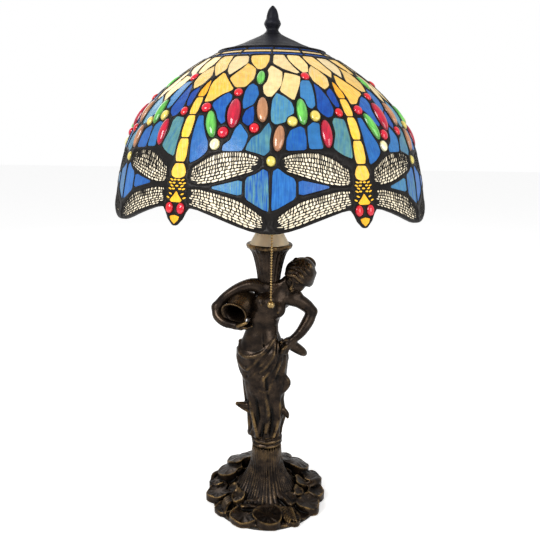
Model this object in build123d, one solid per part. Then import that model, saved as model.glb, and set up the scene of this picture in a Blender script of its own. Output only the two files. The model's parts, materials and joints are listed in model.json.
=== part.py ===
from build123d import *
import os
from math import cos, radians, sin

# Stained glass table lamp, millimetres, +Z up. The origin is the centre of the base where it meets
# the table, and -Y is the front, the side that the bronze figure and the pull chain face.

# ---- driving dimensions: base -------------------------------------------------------------------
felt_thick = 1.5
felt_radius = 81.0
foot_radius = 87.0            # rim of the cast foot, without its leaves
foot_height = 92.0            # table to the top of the trunk
foot_rim_height = 11.0
foot_wall = 4.0
foot_neck_radius = 22.0
foot_top_web = 5.0
ballast_radius = 54.0
ballast_thick = 10.0
cord_bore_radius = 2.8
bushing_wall = 0.9
bushing_length = 10.0
cord_channel_width = 7.0
bushing_reach = 89.0          # how far behind the lamp tube the cord bushing ends
leaf_draft = 8.0              # taper of the cast leaves, degrees

# ---- driving dimensions: rods and nuts -----------------------------------------------------------
rod_radius = 5.0              # M10 x 1 lamp tube
rod_wall = 1.3
rod_hole_clearance = 0.3      # round the tube in the castings
thread_clearance = 0.05
turn_clearance = 0.08         # shade hub and finial, which turn on the tube
rod_nut_flats = 17.0
rod_nut_thick = 5.0
washer_radius = 10.0
washer_thick = 1.6
nut_pocket_clear = 1.5        # room round and under the nut in the ballast plate

# ---- driving dimensions: figure ------------------------------------------------------------------
collar_height = 15.0
collar_radius = 22.5
figure_height = 224.0         # collar to the shoulder that carries the cup
figure_width = 75.0           # hips, side to side, with the drapery
figure_front = 34.0           # how far the figure reaches in front of the lamp tube
figure_wall = 4.0             # the body is a hollow casting, open at the bottom
head_half_size = (18.0, 20.0, 22.0)
head_lean = 35.0              # the head bends to the right by this many degrees
sash_thick = 4.5
sash_low = 132.0              # above the collar
sash_high = 150.0
sash_lean = -22.0
jug_length = 46.0
jug_radius = 20.0
jug_wall = 3.0

# ---- driving dimensions: cup, cone and light cluster ---------------------------------------------
cup_height = 62.0
cup_rim_radius = 31.5
cup_wall = 3.0
cup_stem_radius = 8.0
cup_stem_height = 18.0
cone_base_radius = 25.3
cone_height = 37.0
cone_wall = 1.6
cone_seat_depth = 5.5         # how deep the cone's foot sits below the cup's rim
cluster_radius = 17.0
cluster_wall = 2.5
boss_radius = 9.0             # threaded bosses inside the cluster body
arm_tilt = 20.0               # how far the lamp holders point up from level
nipple_length = 21.0
nipple_bite = 2.5
holder_radius = 17.0
holder_wall = 1.0
holder_cap_length = 14.0
holder_shell_length = 40.0
insulator_length = 12.0
screw_radius = 13.2           # inside of an E26 screw shell
screw_wall = 0.6
screw_length = 24.0
contact_radius = 4.0
contact_thick = 1.0
bulb_radius = 30.0            # A19 bulb
bulb_length = 108.0
bulb_base_radius = 12.9
bulb_glass_wall = 1.0
bulb_neck_swell = 2.5         # how much wider the neck has grown after its length
bulb_neck_length = 12.0
running_gap = 0.3             # between pieces that move past each other

# ---- driving dimensions: pull switch and chain ---------------------------------------------------
switch_side = 22.0
switch_height = 18.0
switch_corner = 2.5
switch_wall = 3.0
switch_nipple_rise = 4.0      # nipple above the middle of the cluster
bell_height = 8.0
bell_radius = 6.0
plunger_radius = 2.0
plunger_head_radius = 3.6
plunger_head_thick = 2.0
plunger_travel = 8.0
plunger_gap = 0.4
chain_offset_x = 3.0
chain_length = 114.5
bead_count = 32
bead_radius = 1.3
link_radius = 0.5
ball_radius = 5.25
ball_clear = 2.75             # ball to the front of the figure

# ---- driving dimensions: shade -------------------------------------------------------------------
shade_radius = 203.9
shade_height = 188.8          # rim to the shoulder ring
shade_rim_drop = 4.5          # rim below the middle of the cluster
shoulder_radius = 89.8
glass_thick = 3.2
came_height = 3.0
lobe_count = 6                # wing pairs round the shade, with a head between two pairs
rim_wave = 25.0               # how far the rim rises beside each head
crown_radius = 68.0
crown_rise = 11.5
ring_width = 2.4
aperture_ring_width = 5.0
aperture_ring_height = 9.0
hub_radius = 12.0
hub_height = 6.0
spider_bar = 5.0
spider_bars = 4
hub_bite = 2.0                # how deep each bar is let into the hub
cap_height = 24.0
cap_wall = 1.4
cap_neck_radius = 9.0
seat_washer_thick = 2.0
lock_nut_thick = 5.0
finial_height = 33.5
finial_radius = 8.3
finial_neck_radius = 7.0

# ---- levels and places that follow from them -----------------------------------------------------
rod_hole_radius = rod_radius + rod_hole_clearance
collar_z = foot_height
figure_z = collar_z + collar_height
cup_z = figure_z + figure_height
cup_rim_z = cup_z + cup_height
cone_z = cup_rim_z - cone_seat_depth
cone_top_z = cone_z + cone_height
cluster_z = cone_top_z + cluster_radius
ballast_top_z = felt_thick + ballast_thick
rim_z = cluster_z - shade_rim_drop
shoulder_z = rim_z + shade_height
crown_z = shoulder_z + crown_rise
hub_z = crown_z - aperture_ring_height
cap_top_z = crown_z + cap_height
finial_z = cap_top_z + running_gap
finial_bore_depth = 9.0
riser_top_z = finial_z + finial_bore_depth - 1.0
cluster_end = cluster_radius - 1.0     # flat ends of the ball-shaped cluster body
arm_start = cluster_radius - nipple_bite
holder_start = arm_start + nipple_length - nipple_bite
shell_start = holder_start + holder_cap_length
insulator_end = shell_start + insulator_length
bulb_start = insulator_end + contact_thick + running_gap
chain_y = -(figure_front + ball_clear + ball_radius)
switch_z = cluster_z - 1.0             # underside of the switch housing
pivot_z = switch_z - bell_height / 2
link_gap = 0.3
foot_scale = foot_radius / 87.0
width_scale = figure_width / 75.0
height_scale = figure_height / 224.0
depth_scale = figure_front / 34.0


# ---- helpers -------------------------------------------------------------------------------------
def spun(outline):
    """Solid of revolution about Z from a closed polygon of (radius, height) points."""
    return revolve(Plane.XZ * make_face(Polyline(*outline, close=True)), Axis.Z)


def spun_edges(edges):
    """Solid of revolution about Z from edges that close an outline drawn as (radius, height)."""
    return revolve(Plane.XZ * make_face(edges), Axis.Z)


def tube(low, high, outer, inner):
    return spun([(inner, low), (outer, low), (outer, high), (inner, high)])


def rod(low, high, radius):
    return spun([(0, low), (radius, low), (radius, high), (0, high)])


def on_circle(radius, azimuth):
    """Point at an azimuth counted from the front, clockwise from above when negative."""
    return radius * sin(radians(azimuth)), -radius * cos(radians(azimuth))


def place(x, y, z):
    """A point of the figure: x and y from the lamp tube, z from the collar, scaled to the figure."""
    return Vector(x * width_scale, y * depth_scale, figure_z + z * height_scale)


def ball(centre, radius):
    return Pos(centre.X, centre.Y, centre.Z) * Sphere(radius)


def limb(start, end, start_radius, end_radius):
    """Tapered round limb between two points, with a ball at each end."""
    along = end - start
    taper = Solid.make_cone(start_radius, end_radius, along.length, Plane(start, z_dir=along))
    return ball(start, start_radius) + taper + ball(end, end_radius)


def side(name):
    """Sign of X for the left or right lamp holder."""
    return -1 if name == "left" else 1


def along_arm(name):
    """Frame whose +Z runs out of the cluster along one lamp holder."""
    return Pos(0, 0, cluster_z) * Rot(0, side(name) * (90 - arm_tilt), 0)


def one(shape):
    """The largest solid of a shape, as a Part."""
    return Part(shape.solids().sort_by(SortBy.VOLUME)[-1].wrapped)


# ---- base ----------------------------------------------------------------------------------------
# Leaves round the rim of the foot: (azimuth, radius of the leaf's centre, leaf radius, top height).
leaves = [
    (-26, 72, 15, 12), (2, 70, 13, 14), (29, 73, 15, 12), (58, 72, 14, 12), (84, 75, 12, 13),
    (108, 79, 14, 18), (136, 72, 15, 28), (157, 77, 11, 26), (-158, 77, 12, 26), (-140, 80, 15, 30),
    (-121, 74, 15, 24), (-104, 80, 11, 15), (-82, 75, 15, 12), (-55, 72, 14, 12), (180, 76, 13, 16),
]


def flare(radius_in, height_down):
    """Hollow curve of the trunk, from the neck down to the rim, moved inwards and down."""
    neck = foot_neck_radius - radius_in
    rim = foot_radius - 5.0 - radius_in
    top = foot_height - height_down
    rim_top = foot_rim_height - height_down
    drop = top - rim_top
    reach = rim - neck
    return Spline(
        (neck, top),
        (neck + 0.05 * reach, top - 0.30 * drop),
        (neck + 0.27 * reach, top - 0.66 * drop),
        (neck + 0.62 * reach, top - 0.90 * drop),
        (rim, rim_top),
    )


def foot_outer():
    curve = flare(0.0, 0.0)
    rest = Polyline(
        curve @ 1,
        (foot_radius - 1.0, foot_rim_height - 2.0),
        (foot_radius, foot_rim_height - 4.0),
        (foot_radius, felt_thick + 1.5),
        (foot_radius - 1.5, felt_thick),
        (0, felt_thick),
        (0, foot_height),
        curve @ 0,
    )
    return spun_edges([curve] + list(rest.edges()))


def foot_hollow():
    curve = flare(foot_wall, foot_top_web)
    ledge = ballast_radius - 5.0
    room = Polyline(
        curve @ 1,
        (foot_radius - foot_wall, foot_rim_height - foot_wall),
        (foot_radius - foot_wall, 0),
        (0, 0),
        (0, foot_height - foot_top_web),
        curve @ 0,
    )
    hollow = spun_edges([curve] + list(room.edges()))
    # a step that the ballast plate is clamped against
    step = tube(ballast_top_z, ballast_top_z + foot_wall, ballast_radius + 3 * foot_wall, ledge)
    return hollow - step


def foot_casting():
    leaf_solids = []
    for azimuth, reach, size, top in leaves:
        x, y = on_circle(reach * foot_scale, azimuth)
        leaf = extrude(Circle(size * foot_scale), top - felt_thick, taper=leaf_draft)
        leaf_solids.append(Pos(x, y, felt_thick) * leaf)
    body = foot_outer() + leaf_solids
    body = body - foot_hollow() - rod(foot_height - 2 * foot_top_web, foot_height + 1, rod_hole_radius)
    return one(body - bushing_space())


def bushing_frame():
    """Frame on the axis of the cord hole, with +Z running out of the back of the foot."""
    return Pos(0, 0, felt_thick + cord_bore_radius + bushing_wall + 1.5) * Rot(-90, 0, 0)


def bushing_space():
    end = bushing_reach * foot_scale
    return bushing_frame() * rod(end - bushing_length, end + 2, cord_bore_radius + bushing_wall)


def cord_bushing():
    end = bushing_reach * foot_scale
    outer = cord_bore_radius + bushing_wall
    return bushing_frame() * tube(end - bushing_length, end, outer, cord_bore_radius)


def felt_pad():
    return rod(0, felt_thick, felt_radius)


def nut_pocket_top():
    return felt_thick + washer_thick + rod_nut_thick + nut_pocket_clear


def ballast_plate():
    pocket_depth = nut_pocket_top() - felt_thick
    plate = rod(felt_thick, ballast_top_z, ballast_radius)
    plate = plate - rod(0, ballast_top_z + 1, rod_hole_radius)
    plate = plate - rod(0, nut_pocket_top(), washer_radius + nut_pocket_clear)
    channel = Box(cord_channel_width, ballast_radius + 2, 2 * pocket_depth)
    return plate - Pos(0, ballast_radius / 2, felt_thick) * channel


def rod_washer():
    top = nut_pocket_top()
    return tube(top - washer_thick, top, washer_radius, rod_hole_radius)


def hex_nut(low, high):
    prism = Pos(0, 0, low) * extrude(RegularPolygon(rod_nut_flats / 2, 6, major_radius=False), high - low)
    return prism - rod(low - 1, high + 1, rod_radius + thread_clearance)


def rod_nut():
    top = nut_pocket_top() - washer_thick
    return hex_nut(top - rod_nut_thick, top)


def lamp_rod():
    low = nut_pocket_top() - washer_thick - rod_nut_thick - 0.5
    return tube(low, cluster_z - cluster_radius / 2, rod_radius, rod_radius - rod_wall)


def collar_ring():
    low, high, bulge = collar_z, figure_z, 2.5
    outline = [
        (rod_hole_radius, low),
        (collar_radius - bulge, low),
        (collar_radius, low + 3.0),
        (collar_radius, high - 3.0),
        (collar_radius - bulge, high),
        (rod_hole_radius, high),
    ]
    return spun(outline)


# ---- figure --------------------------------------------------------------------------------------
# Cross sections of the draped body: (height above the collar, centre x, centre y, half width, half depth).
body_sections = [
    (0, -2, 0, 20, 18), (28, 0, -1, 28, 22), (59, -4, -2, 28, 23), (91, -4, -2, 31, 25),
    (123, -8, -2, 37, 27), (148, -9, -3, 29, 22), (168, -8, -4, 23, 18), (191, -3, -8, 24, 22),
    (207, 3, -6, 25, 19), (224, 8, -2, 22, 14),
]


def body_loft(grow):
    rings = []
    for height, x, y, half_width, half_depth in body_sections:
        spot = place(x, y, height)
        oval = Ellipse(half_width * width_scale + grow, half_depth * depth_scale + grow)
        rings.append(Pos(spot.X, spot.Y, spot.Z) * oval)
    return loft(rings)


def lamp_tube_hole():
    return rod(collar_z, cup_rim_z, rod_hole_radius)


def figure_body():
    core_low, core_high = figure_z - 1, cup_z - 2 * figure_wall
    tall = core_high - core_low
    core = body_loft(-figure_wall)
    core = core & Pos(0, 0, core_low + tall / 2) * Box(3 * figure_width, 3 * figure_width, tall)
    return one(body_loft(0) - core - lamp_tube_hole())


def figure_head():
    low = place(14, -6, 212)
    middle = place(30, -8, 229)
    head_centre = place(43, -9, 240)
    skull = Rot(0, head_lean, 0) * scale(Sphere(1), by=head_half_size)
    skull = Pos(head_centre.X, head_centre.Y, head_centre.Z) * skull
    neck = limb(low, middle, 9.0 * width_scale, 8.0 * width_scale)
    return one(neck + skull - body_loft(0) - cup_envelope())


def figure_arm_right():
    shoulder = place(-17, -3, 220)
    elbow = place(-72, 2, 194)
    wrist = place(-47, -16, 170)
    hand = place(-34, -20, 165)
    upper = limb(shoulder, elbow, 10.0 * width_scale, 8.0 * width_scale)
    fore = limb(elbow, wrist, 7.8 * width_scale, 5.6 * width_scale)
    palm = limb(wrist, hand, 5.5 * width_scale, 5.0 * width_scale)
    return one(upper + fore + palm - body_loft(0) - cup_envelope() - jug_envelope())


def figure_arm_left():
    shoulder = place(34, -4, 206)
    elbow = place(63, 0, 185)
    wrist = place(42, -14, 152)
    hand = place(31, -17, 148)
    upper = limb(shoulder, elbow, 9.5 * width_scale, 7.5 * width_scale)
    fore = limb(elbow, wrist, 7.3 * width_scale, 5.6 * width_scale)
    palm = limb(wrist, hand, 5.5 * width_scale, 5.0 * width_scale)
    return one(upper + fore + palm - body_loft(0) - figure_head())


def jug_frame():
    """Frame at the back of the jug, with +Z running out through its mouth."""
    mouth = place(-47, -24, 183)
    direction = Vector(-0.25, -0.85, -0.25).normalized()
    start = mouth - direction * jug_length
    return Plane(start, z_dir=direction)


def jug_outline():
    """Outside of the jug as (radius, distance from its back)."""
    return [
        (0, 0), (0.55 * jug_radius, 0.5), (0.88 * jug_radius, 0.14 * jug_length),
        (jug_radius, 0.38 * jug_length), (0.84 * jug_radius, 0.66 * jug_length),
        (0.58 * jug_radius, 0.84 * jug_length), (0.66 * jug_radius, jug_length), (0, jug_length),
    ]


def jug_envelope():
    return jug_frame().location * spun(jug_outline())


def water_jug():
    neck_inner = 0.58 * jug_radius - jug_wall
    mouth_inner = 0.66 * jug_radius - jug_wall
    hollow = spun([
        (0, jug_wall), (0.55 * jug_radius - 1, jug_wall + 0.5),
        (0.88 * jug_radius - jug_wall, 0.18 * jug_length),
        (jug_radius - jug_wall, 0.38 * jug_length), (0.80 * jug_radius - jug_wall, 0.66 * jug_length),
        (neck_inner, 0.84 * jug_length), (mouth_inner, jug_length + 1), (0, jug_length + 1),
    ])
    return one(jug_envelope() - jug_frame().location * hollow - body_loft(0) - lamp_tube_hole())


def drapery_sash():
    low = place(-8, 0, sash_low)
    high = place(-8, 0, sash_high)
    middle = (low + high) / 2
    slab = Box(2 * figure_width, 3 * figure_front, high.Z - low.Z)
    slab = Pos(middle.X, middle.Y, middle.Z) * Rot(0, sash_lean, 0) * slab
    band = body_loft(sash_thick) & slab
    return one(band - body_loft(0) - figure_arm_left() - water_jug() - figure_arm_right())


# ---- cup, cone and cluster -----------------------------------------------------------------------
def cup_outer_line():
    flare_z = cup_z + cup_stem_height
    rise = cup_rim_z - flare_z
    reach = cup_rim_radius - cup_stem_radius
    return [
        (cup_stem_radius, cup_z),
        (cup_stem_radius, flare_z),
        (cup_stem_radius + 0.33 * reach, flare_z + 0.22 * rise),
        (cup_stem_radius + 0.47 * reach, flare_z + 0.48 * rise),
        (cup_stem_radius + 0.70 * reach, flare_z + 0.80 * rise),
        (cup_rim_radius, cup_rim_z - 3.0),
        (cup_rim_radius, cup_rim_z),
    ]


def cup_envelope():
    return spun([(0, cup_z)] + cup_outer_line() + [(0, cup_rim_z)])


def fluted_cup():
    inner = [
        (cone_base_radius + 0.2, cup_rim_z),
        (cone_base_radius + 0.2, cone_z),
        (cone_base_radius - 3.5, cone_z),
    ]
    for radius, height in reversed(cup_outer_line()[2:5]):
        inner.append((radius - cup_wall - 1.0, height))
    inner.append((rod_hole_radius, cup_z + cup_stem_height))
    inner.append((rod_hole_radius, cup_z))
    return spun(cup_outer_line() + inner)


def cone_cap():
    base, top = cone_base_radius, rod_hole_radius + 3.5
    foot = 3.0
    shoulder = 0.40 * cone_height
    mid = base - 0.30 * (base - top)
    outline = [
        (base, cone_z),
        (base, cone_z + foot),
        (mid, cone_z + shoulder),
        (top, cone_top_z),
        (rod_hole_radius, cone_top_z),
        (rod_hole_radius, cone_top_z - 2 * cone_wall),
        (top - cone_wall, cone_top_z - 2 * cone_wall),
        (mid - 1.2 * cone_wall, cone_z + shoulder - cone_wall),
        (base - cone_wall, cone_z + foot - cone_wall),
        (base - cone_wall, cone_z),
    ]
    return spun(outline)


def cluster_body():
    shell = Pos(0, 0, cluster_z) * (Sphere(cluster_radius) - Sphere(cluster_radius - cluster_wall))
    hole = rod_radius + thread_clearance
    low_boss = tube(cone_top_z, cluster_z - cluster_radius / 2, boss_radius, hole)
    high_boss = tube(cluster_z + cluster_radius / 2, cluster_z + cluster_end, boss_radius, hole)
    body = shell + low_boss + high_boss
    body = body - rod(cone_top_z - 1, cluster_z + cluster_radius + 1, hole)
    body = body - rod(cone_top_z - cluster_radius, cone_top_z, 2 * cluster_radius)
    for name in ("left", "right"):
        body = body - along_arm(name) * rod(arm_start - 3, cluster_radius + 2, hole)
    front = Pos(0, 0, cluster_z + switch_nipple_rise) * Rot(90, 0, 0)
    return one(body - front * rod(arm_start - 4, cluster_radius + 2, hole))


def switch_back_y():
    return chain_y + switch_side / 2


def switch_nipple():
    frame = Pos(0, 0, cluster_z + switch_nipple_rise) * Rot(90, 0, 0)
    return frame * tube(arm_start - 1, -switch_back_y() + switch_wall, rod_radius, rod_radius - rod_wall)


def switch_housing():
    middle_z = switch_z + switch_height / 2
    block = Box(switch_side, switch_side, switch_height)
    case = Pos(chain_offset_x, chain_y, middle_z) * fillet(block.edges(), switch_corner)
    cavity = rod(switch_z + switch_wall, switch_z + switch_height - switch_wall, plunger_head_radius + 1.5)
    case = case - Pos(chain_offset_x, chain_y, 0) * cavity
    plunger_hole = rod(switch_z - 1, switch_z + switch_height / 2, plunger_radius + plunger_gap)
    case = case - Pos(chain_offset_x, chain_y, 0) * plunger_hole
    frame = Pos(0, 0, cluster_z + switch_nipple_rise) * Rot(90, 0, 0)
    socket = rod(0, -switch_back_y() + switch_wall + 0.3, rod_radius + thread_clearance)
    return one(case - frame * socket)


def switch_bell():
    bore = plunger_radius + plunger_gap
    outline = [
        (bore, switch_z),
        (bell_radius - 1.5, switch_z),
        (bell_radius - 1.0, switch_z - bell_height / 2),
        (bell_radius, switch_z - bell_height),
        (bell_radius - 1.2, switch_z - bell_height),
        (bore, pivot_z),
    ]
    return Pos(chain_offset_x, chain_y, 0) * spun(outline)


def switch_slider():
    head_low = switch_z + switch_wall + plunger_travel + 0.5
    head_high = head_low + plunger_head_thick
    outline = [
        (0, pivot_z + link_gap),
        (plunger_radius, pivot_z + link_gap),
        (plunger_radius, head_low),
        (plunger_head_radius, head_low),
        (plunger_head_radius, head_high),
        (0, head_high),
    ]
    return Pos(chain_offset_x, chain_y, 0) * spun(outline)


def pull_chain():
    pitch = chain_length / bead_count
    edges = []
    height = pivot_z
    half = (bead_radius ** 2 - link_radius ** 2) ** 0.5
    for _ in range(bead_count):
        centre = height - pitch / 2
        upper, lower = centre + half, centre - half
        edges.append(Line((link_radius, height), (link_radius, upper)))
        edges.append(ThreePointArc((link_radius, upper), (bead_radius, centre), (link_radius, lower)))
        edges.append(Line((link_radius, lower), (link_radius, height - pitch)))
        height -= pitch
    edges.append(Line((link_radius, height), (0, height)))
    edges.append(Line((0, height), (0, pivot_z)))
    edges.append(Line((0, pivot_z), (link_radius, pivot_z)))
    return Pos(chain_offset_x, chain_y, 0) * spun_edges(edges)


def chain_ball():
    top = pivot_z - chain_length
    flat = 1.5
    centre = top - (ball_radius ** 2 - flat ** 2) ** 0.5
    sphere = Pos(0, 0, centre) * Sphere(ball_radius) - Pos(0, 0, top + 5) * Box(20, 20, 10)
    return Pos(chain_offset_x, chain_y, 0) * sphere


# ---- lamp holders and bulbs, drawn along +Z and turned onto their arms ---------------------------
def arm_nipple(name):
    return along_arm(name) * tube(arm_start, arm_start + nipple_length, rod_radius, rod_radius - rod_wall)


def holder_cap(name):
    hole = rod_radius + thread_clearance
    outline = [
        (hole, holder_start),
        (holder_radius - 6.0, holder_start),
        (holder_radius, holder_start + 8.0),
        (holder_radius, shell_start),
        (holder_radius - holder_wall, shell_start),
        (holder_radius - holder_wall, holder_start + 8.5),
        (holder_radius - 6.5, holder_start + 2.5),
        (hole, holder_start + 2.5),
    ]
    return along_arm(name) * spun(outline)


def holder_shell(name):
    end = shell_start + holder_shell_length
    return along_arm(name) * tube(shell_start, end, holder_radius, holder_radius - holder_wall)


def holder_insulator(name):
    return along_arm(name) * rod(shell_start, insulator_end, holder_radius - holder_wall)


def screw_shell(name):
    end = insulator_end + screw_length
    return along_arm(name) * tube(insulator_end, end, screw_radius + screw_wall, screw_radius)


def center_contact(name):
    return along_arm(name) * rod(insulator_end, insulator_end + contact_thick, contact_radius)


def bulb_base(name):
    low, high = bulb_start, bulb_start + screw_length
    outline = [
        (0, low), (contact_radius, low), (bulb_base_radius - 2.0, low + 4.0),
        (bulb_base_radius, low + 6.0), (bulb_base_radius, high), (0, high),
    ]
    return along_arm(name) * spun(outline)


def bulb_glass(name):
    low = bulb_start + screw_length
    top = bulb_start + bulb_length
    middle = top - bulb_radius

    def envelope(inset):
        neck, belly = bulb_base_radius - inset, bulb_radius - inset
        lean = belly * cos(radians(45))
        cheek = (neck + bulb_neck_swell, low + bulb_neck_length)
        side_line = Spline((neck, low + inset), cheek, (belly, middle), tangents=((0, 1), (0, 1)))
        crown = ThreePointArc((belly, middle), (lean, middle + lean), (0, middle + belly))
        closing = Polyline((0, middle + belly), (0, low + inset), (neck, low + inset))
        return spun_edges([side_line, crown] + list(closing.edges()))

    return along_arm(name) * (envelope(0) - envelope(bulb_glass_wall))


# ---- riser, shade and finial ---------------------------------------------------------------------
def riser_tube():
    return tube(cluster_z + cluster_radius / 2, riser_top_z, rod_radius, rod_radius - rod_wall)


def seat_washer():
    top = hub_z - running_gap
    return tube(top - seat_washer_thick, top, washer_radius, rod_radius + thread_clearance)


def riser_lock_nut():
    top = hub_z - running_gap - seat_washer_thick
    return hex_nut(top - lock_nut_thick, top)


def dome_curve(inset):
    """Side of the shade from rim to shoulder, moved inwards by inset."""
    reach = shade_radius - shoulder_radius
    low = (shade_radius - inset, rim_z)
    low_pull = (shade_radius - 0.107 * reach - inset, rim_z + 0.449 * shade_height)
    high_pull = (shade_radius - 0.185 * reach - inset, rim_z + 0.696 * shade_height - inset)
    high = (shoulder_radius - 0.52 * inset, shoulder_z - 0.85 * inset)
    return Bezier(low, low_pull, high_pull, high)


def dome_shell(outside, inside):
    """Shell of revolution between two insets of the shade's side."""
    outer, inner = dome_curve(outside), dome_curve(inside)
    return spun_edges([outer, inner, Line(outer @ 0, inner @ 0), Line(outer @ 1, inner @ 1)])


# Rim from a head to the tip of its wing: (share of the half lobe, share of the wave).
rim_profile = [
    (0.0, 0.28), (0.059, 0.36), (0.098, 0.80), (0.196, 1.0), (0.392, 0.84), (0.608, 0.48),
    (0.863, 0.16), (1.04, 0.08),
]


def rim_notches(lift):
    """Six tools that cut the wavy rim: the glass rises beside each head and drops at the wing tips."""
    pitch = 360 / lobe_count
    reach = shade_radius * sin(radians(pitch / 2))
    wide = 1.2 * reach
    level = rim_z + lift
    half = [(share * reach, level + rise * rim_wave) for share, rise in rim_profile]
    half.append((wide, half[-1][1]))
    top = [(-u, z) for u, z in reversed(half)] + half[1:]
    outline = top + [(wide, rim_z - rim_wave), (-wide, rim_z - rim_wave)]
    tool = extrude(Plane.XZ * make_face(Polyline(*outline, close=True)), shade_radius + rim_wave)
    return [Rot(0, 0, pitch * (index + 0.5)) * tool for index in range(lobe_count)]


def shade_glass():
    shell = dome_shell(0, glass_thick) - rim_notches(came_height)
    ring_space = tube(shoulder_z - 20, shoulder_z + 20, shoulder_radius + ring_width / 2, 1)
    return one(shell - ring_space)


def rim_came():
    band = dome_shell(0, glass_thick) - rim_notches(0)
    low_zone = rim_notches(came_height)
    zone = low_zone[0]
    for tool in low_zone[1:]:
        zone = zone + tool
    return one(band & zone)


def shoulder_ring():
    half = ring_width / 2
    return tube(shoulder_z - 5, shoulder_z + 2, shoulder_radius + half, shoulder_radius - half)


def crown_glass():
    outer = shoulder_radius - ring_width / 2
    return spun([
        (outer, shoulder_z),
        (crown_radius, crown_z),
        (crown_radius, crown_z - glass_thick),
        (outer, shoulder_z - glass_thick),
    ])


def aperture_ring():
    return tube(crown_z - aperture_ring_height, crown_z, crown_radius, crown_radius - aperture_ring_width)


def shade_spider():
    hub = tube(hub_z, hub_z + hub_height, hub_radius, rod_radius + turn_clearance)
    reach = crown_radius - aperture_ring_width
    start = hub_radius - hub_bite
    bars = []
    for index in range(spider_bars):
        bar = Box(reach + hub_bite - start, spider_bar, spider_bar)
        bar = Pos((reach + hub_bite + start) / 2, 0, hub_z + spider_bar / 2) * bar
        bars.append(Rot(0, 0, 45 + 360 / spider_bars * index) * bar)
    rounded_end = tube(hub_z - 1, hub_z + hub_height + 1, reach + 20, reach)
    return one(hub + bars - rounded_end)


def heat_cap():
    outer = [
        (crown_radius, crown_z),
        (crown_radius - 1.0, crown_z + 1.5),
        (0.91 * crown_radius, crown_z + 0.14 * cap_height),
        (0.66 * crown_radius, crown_z + 0.52 * cap_height),
        (0.44 * crown_radius, crown_z + 0.78 * cap_height),
        (0.25 * crown_radius, crown_z + 0.95 * cap_height),
        (cap_neck_radius, cap_top_z),
    ]
    inner = [(r - 0.4, z - cap_wall) for r, z in reversed(outer[2:-1])]
    rest = [(rod_radius + 0.5, cap_top_z), (rod_radius + 0.5, cap_top_z - cap_wall)]
    return spun(outer + rest + inner + [(crown_radius - 5, crown_z)])


def finial():
    low, top = finial_z, finial_z + finial_height
    body_curve = Spline(
        (finial_neck_radius, low + 3.0),
        (finial_radius, low + 0.36 * finial_height),
        (0.52 * finial_radius, low + 0.72 * finial_height),
        (0.16 * finial_radius, top - 0.8),
        (0, top),
    )
    closing = Polyline((0, top), (0, low), (finial_neck_radius + 1, low), (finial_neck_radius, low + 3.0))
    solid = spun_edges([body_curve] + list(closing.edges()))
    return solid - rod(low - 1, low + finial_bore_depth, rod_radius + turn_clearance)


# ---- write every piece ---------------------------------------------------------------------------
pieces = {
    "felt_pad": felt_pad,
    "ballast_plate": ballast_plate,
    "foot_casting": foot_casting,
    "cord_bushing": cord_bushing,
    "rod_washer": rod_washer,
    "rod_nut": rod_nut,
    "lamp_rod": lamp_rod,
    "collar_ring": collar_ring,
    "figure_body": figure_body,
    "figure_head": figure_head,
    "figure_arm_right": figure_arm_right,
    "figure_arm_left": figure_arm_left,
    "water_jug": water_jug,
    "drapery_sash": drapery_sash,
    "fluted_cup": fluted_cup,
    "cone_cap": cone_cap,
    "cluster_body": cluster_body,
    "switch_nipple": switch_nipple,
    "switch_housing": switch_housing,
    "switch_bell": switch_bell,
    "switch_slider": switch_slider,
    "pull_chain": pull_chain,
    "chain_ball": chain_ball,
    "riser_tube": riser_tube,
    "riser_lock_nut": riser_lock_nut,
    "seat_washer": seat_washer,
    "shade_glass": shade_glass,
    "rim_came": rim_came,
    "shoulder_ring": shoulder_ring,
    "crown_glass": crown_glass,
    "aperture_ring": aperture_ring,
    "shade_spider": shade_spider,
    "heat_cap": heat_cap,
    "finial": finial,
}
paired_pieces = {
    "arm_nipple": arm_nipple,
    "holder_cap": holder_cap,
    "holder_shell": holder_shell,
    "holder_insulator": holder_insulator,
    "screw_shell": screw_shell,
    "center_contact": center_contact,
    "bulb_base": bulb_base,
    "bulb_glass": bulb_glass,
}

os.makedirs("parts", exist_ok=True)
for node, make in pieces.items():
    export_step(make(), f"parts/{node}.step")
for node, make in paired_pieces.items():
    for name in ("left", "right"):
        export_step(make(name), f"parts/{node}_{name}.step")
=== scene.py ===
# %% [markdown]
# # A stained glass table lamp
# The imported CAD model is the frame: it fixes every size and every moving body. This lesson dresses it.
# Glass, solder, bronze and brass are built around it, piece by piece, each riding on the body it moves with.

# %% Load the frame
import json
import math

import bmesh
import bpy
import numpy as np
from mathutils import Matrix, Vector
from mathutils.geometry import delaunay_2d_cdt
from mathutils.kdtree import KDTree


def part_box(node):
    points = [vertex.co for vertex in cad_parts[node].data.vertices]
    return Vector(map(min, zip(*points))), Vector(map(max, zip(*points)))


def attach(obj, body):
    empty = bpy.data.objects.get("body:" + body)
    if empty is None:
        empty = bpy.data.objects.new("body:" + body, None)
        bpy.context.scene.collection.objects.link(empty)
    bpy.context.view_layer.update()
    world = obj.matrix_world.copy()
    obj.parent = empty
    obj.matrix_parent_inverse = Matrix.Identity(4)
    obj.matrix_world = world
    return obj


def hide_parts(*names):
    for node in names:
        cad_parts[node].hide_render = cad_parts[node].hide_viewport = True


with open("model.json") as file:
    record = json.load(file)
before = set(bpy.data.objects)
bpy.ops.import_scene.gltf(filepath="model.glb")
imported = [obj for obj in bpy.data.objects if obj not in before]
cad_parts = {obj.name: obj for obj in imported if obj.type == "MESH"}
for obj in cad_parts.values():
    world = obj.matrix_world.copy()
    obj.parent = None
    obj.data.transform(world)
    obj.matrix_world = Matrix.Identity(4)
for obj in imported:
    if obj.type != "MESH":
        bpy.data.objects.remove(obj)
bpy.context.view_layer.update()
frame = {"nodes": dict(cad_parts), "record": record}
MM = 0.001


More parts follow.
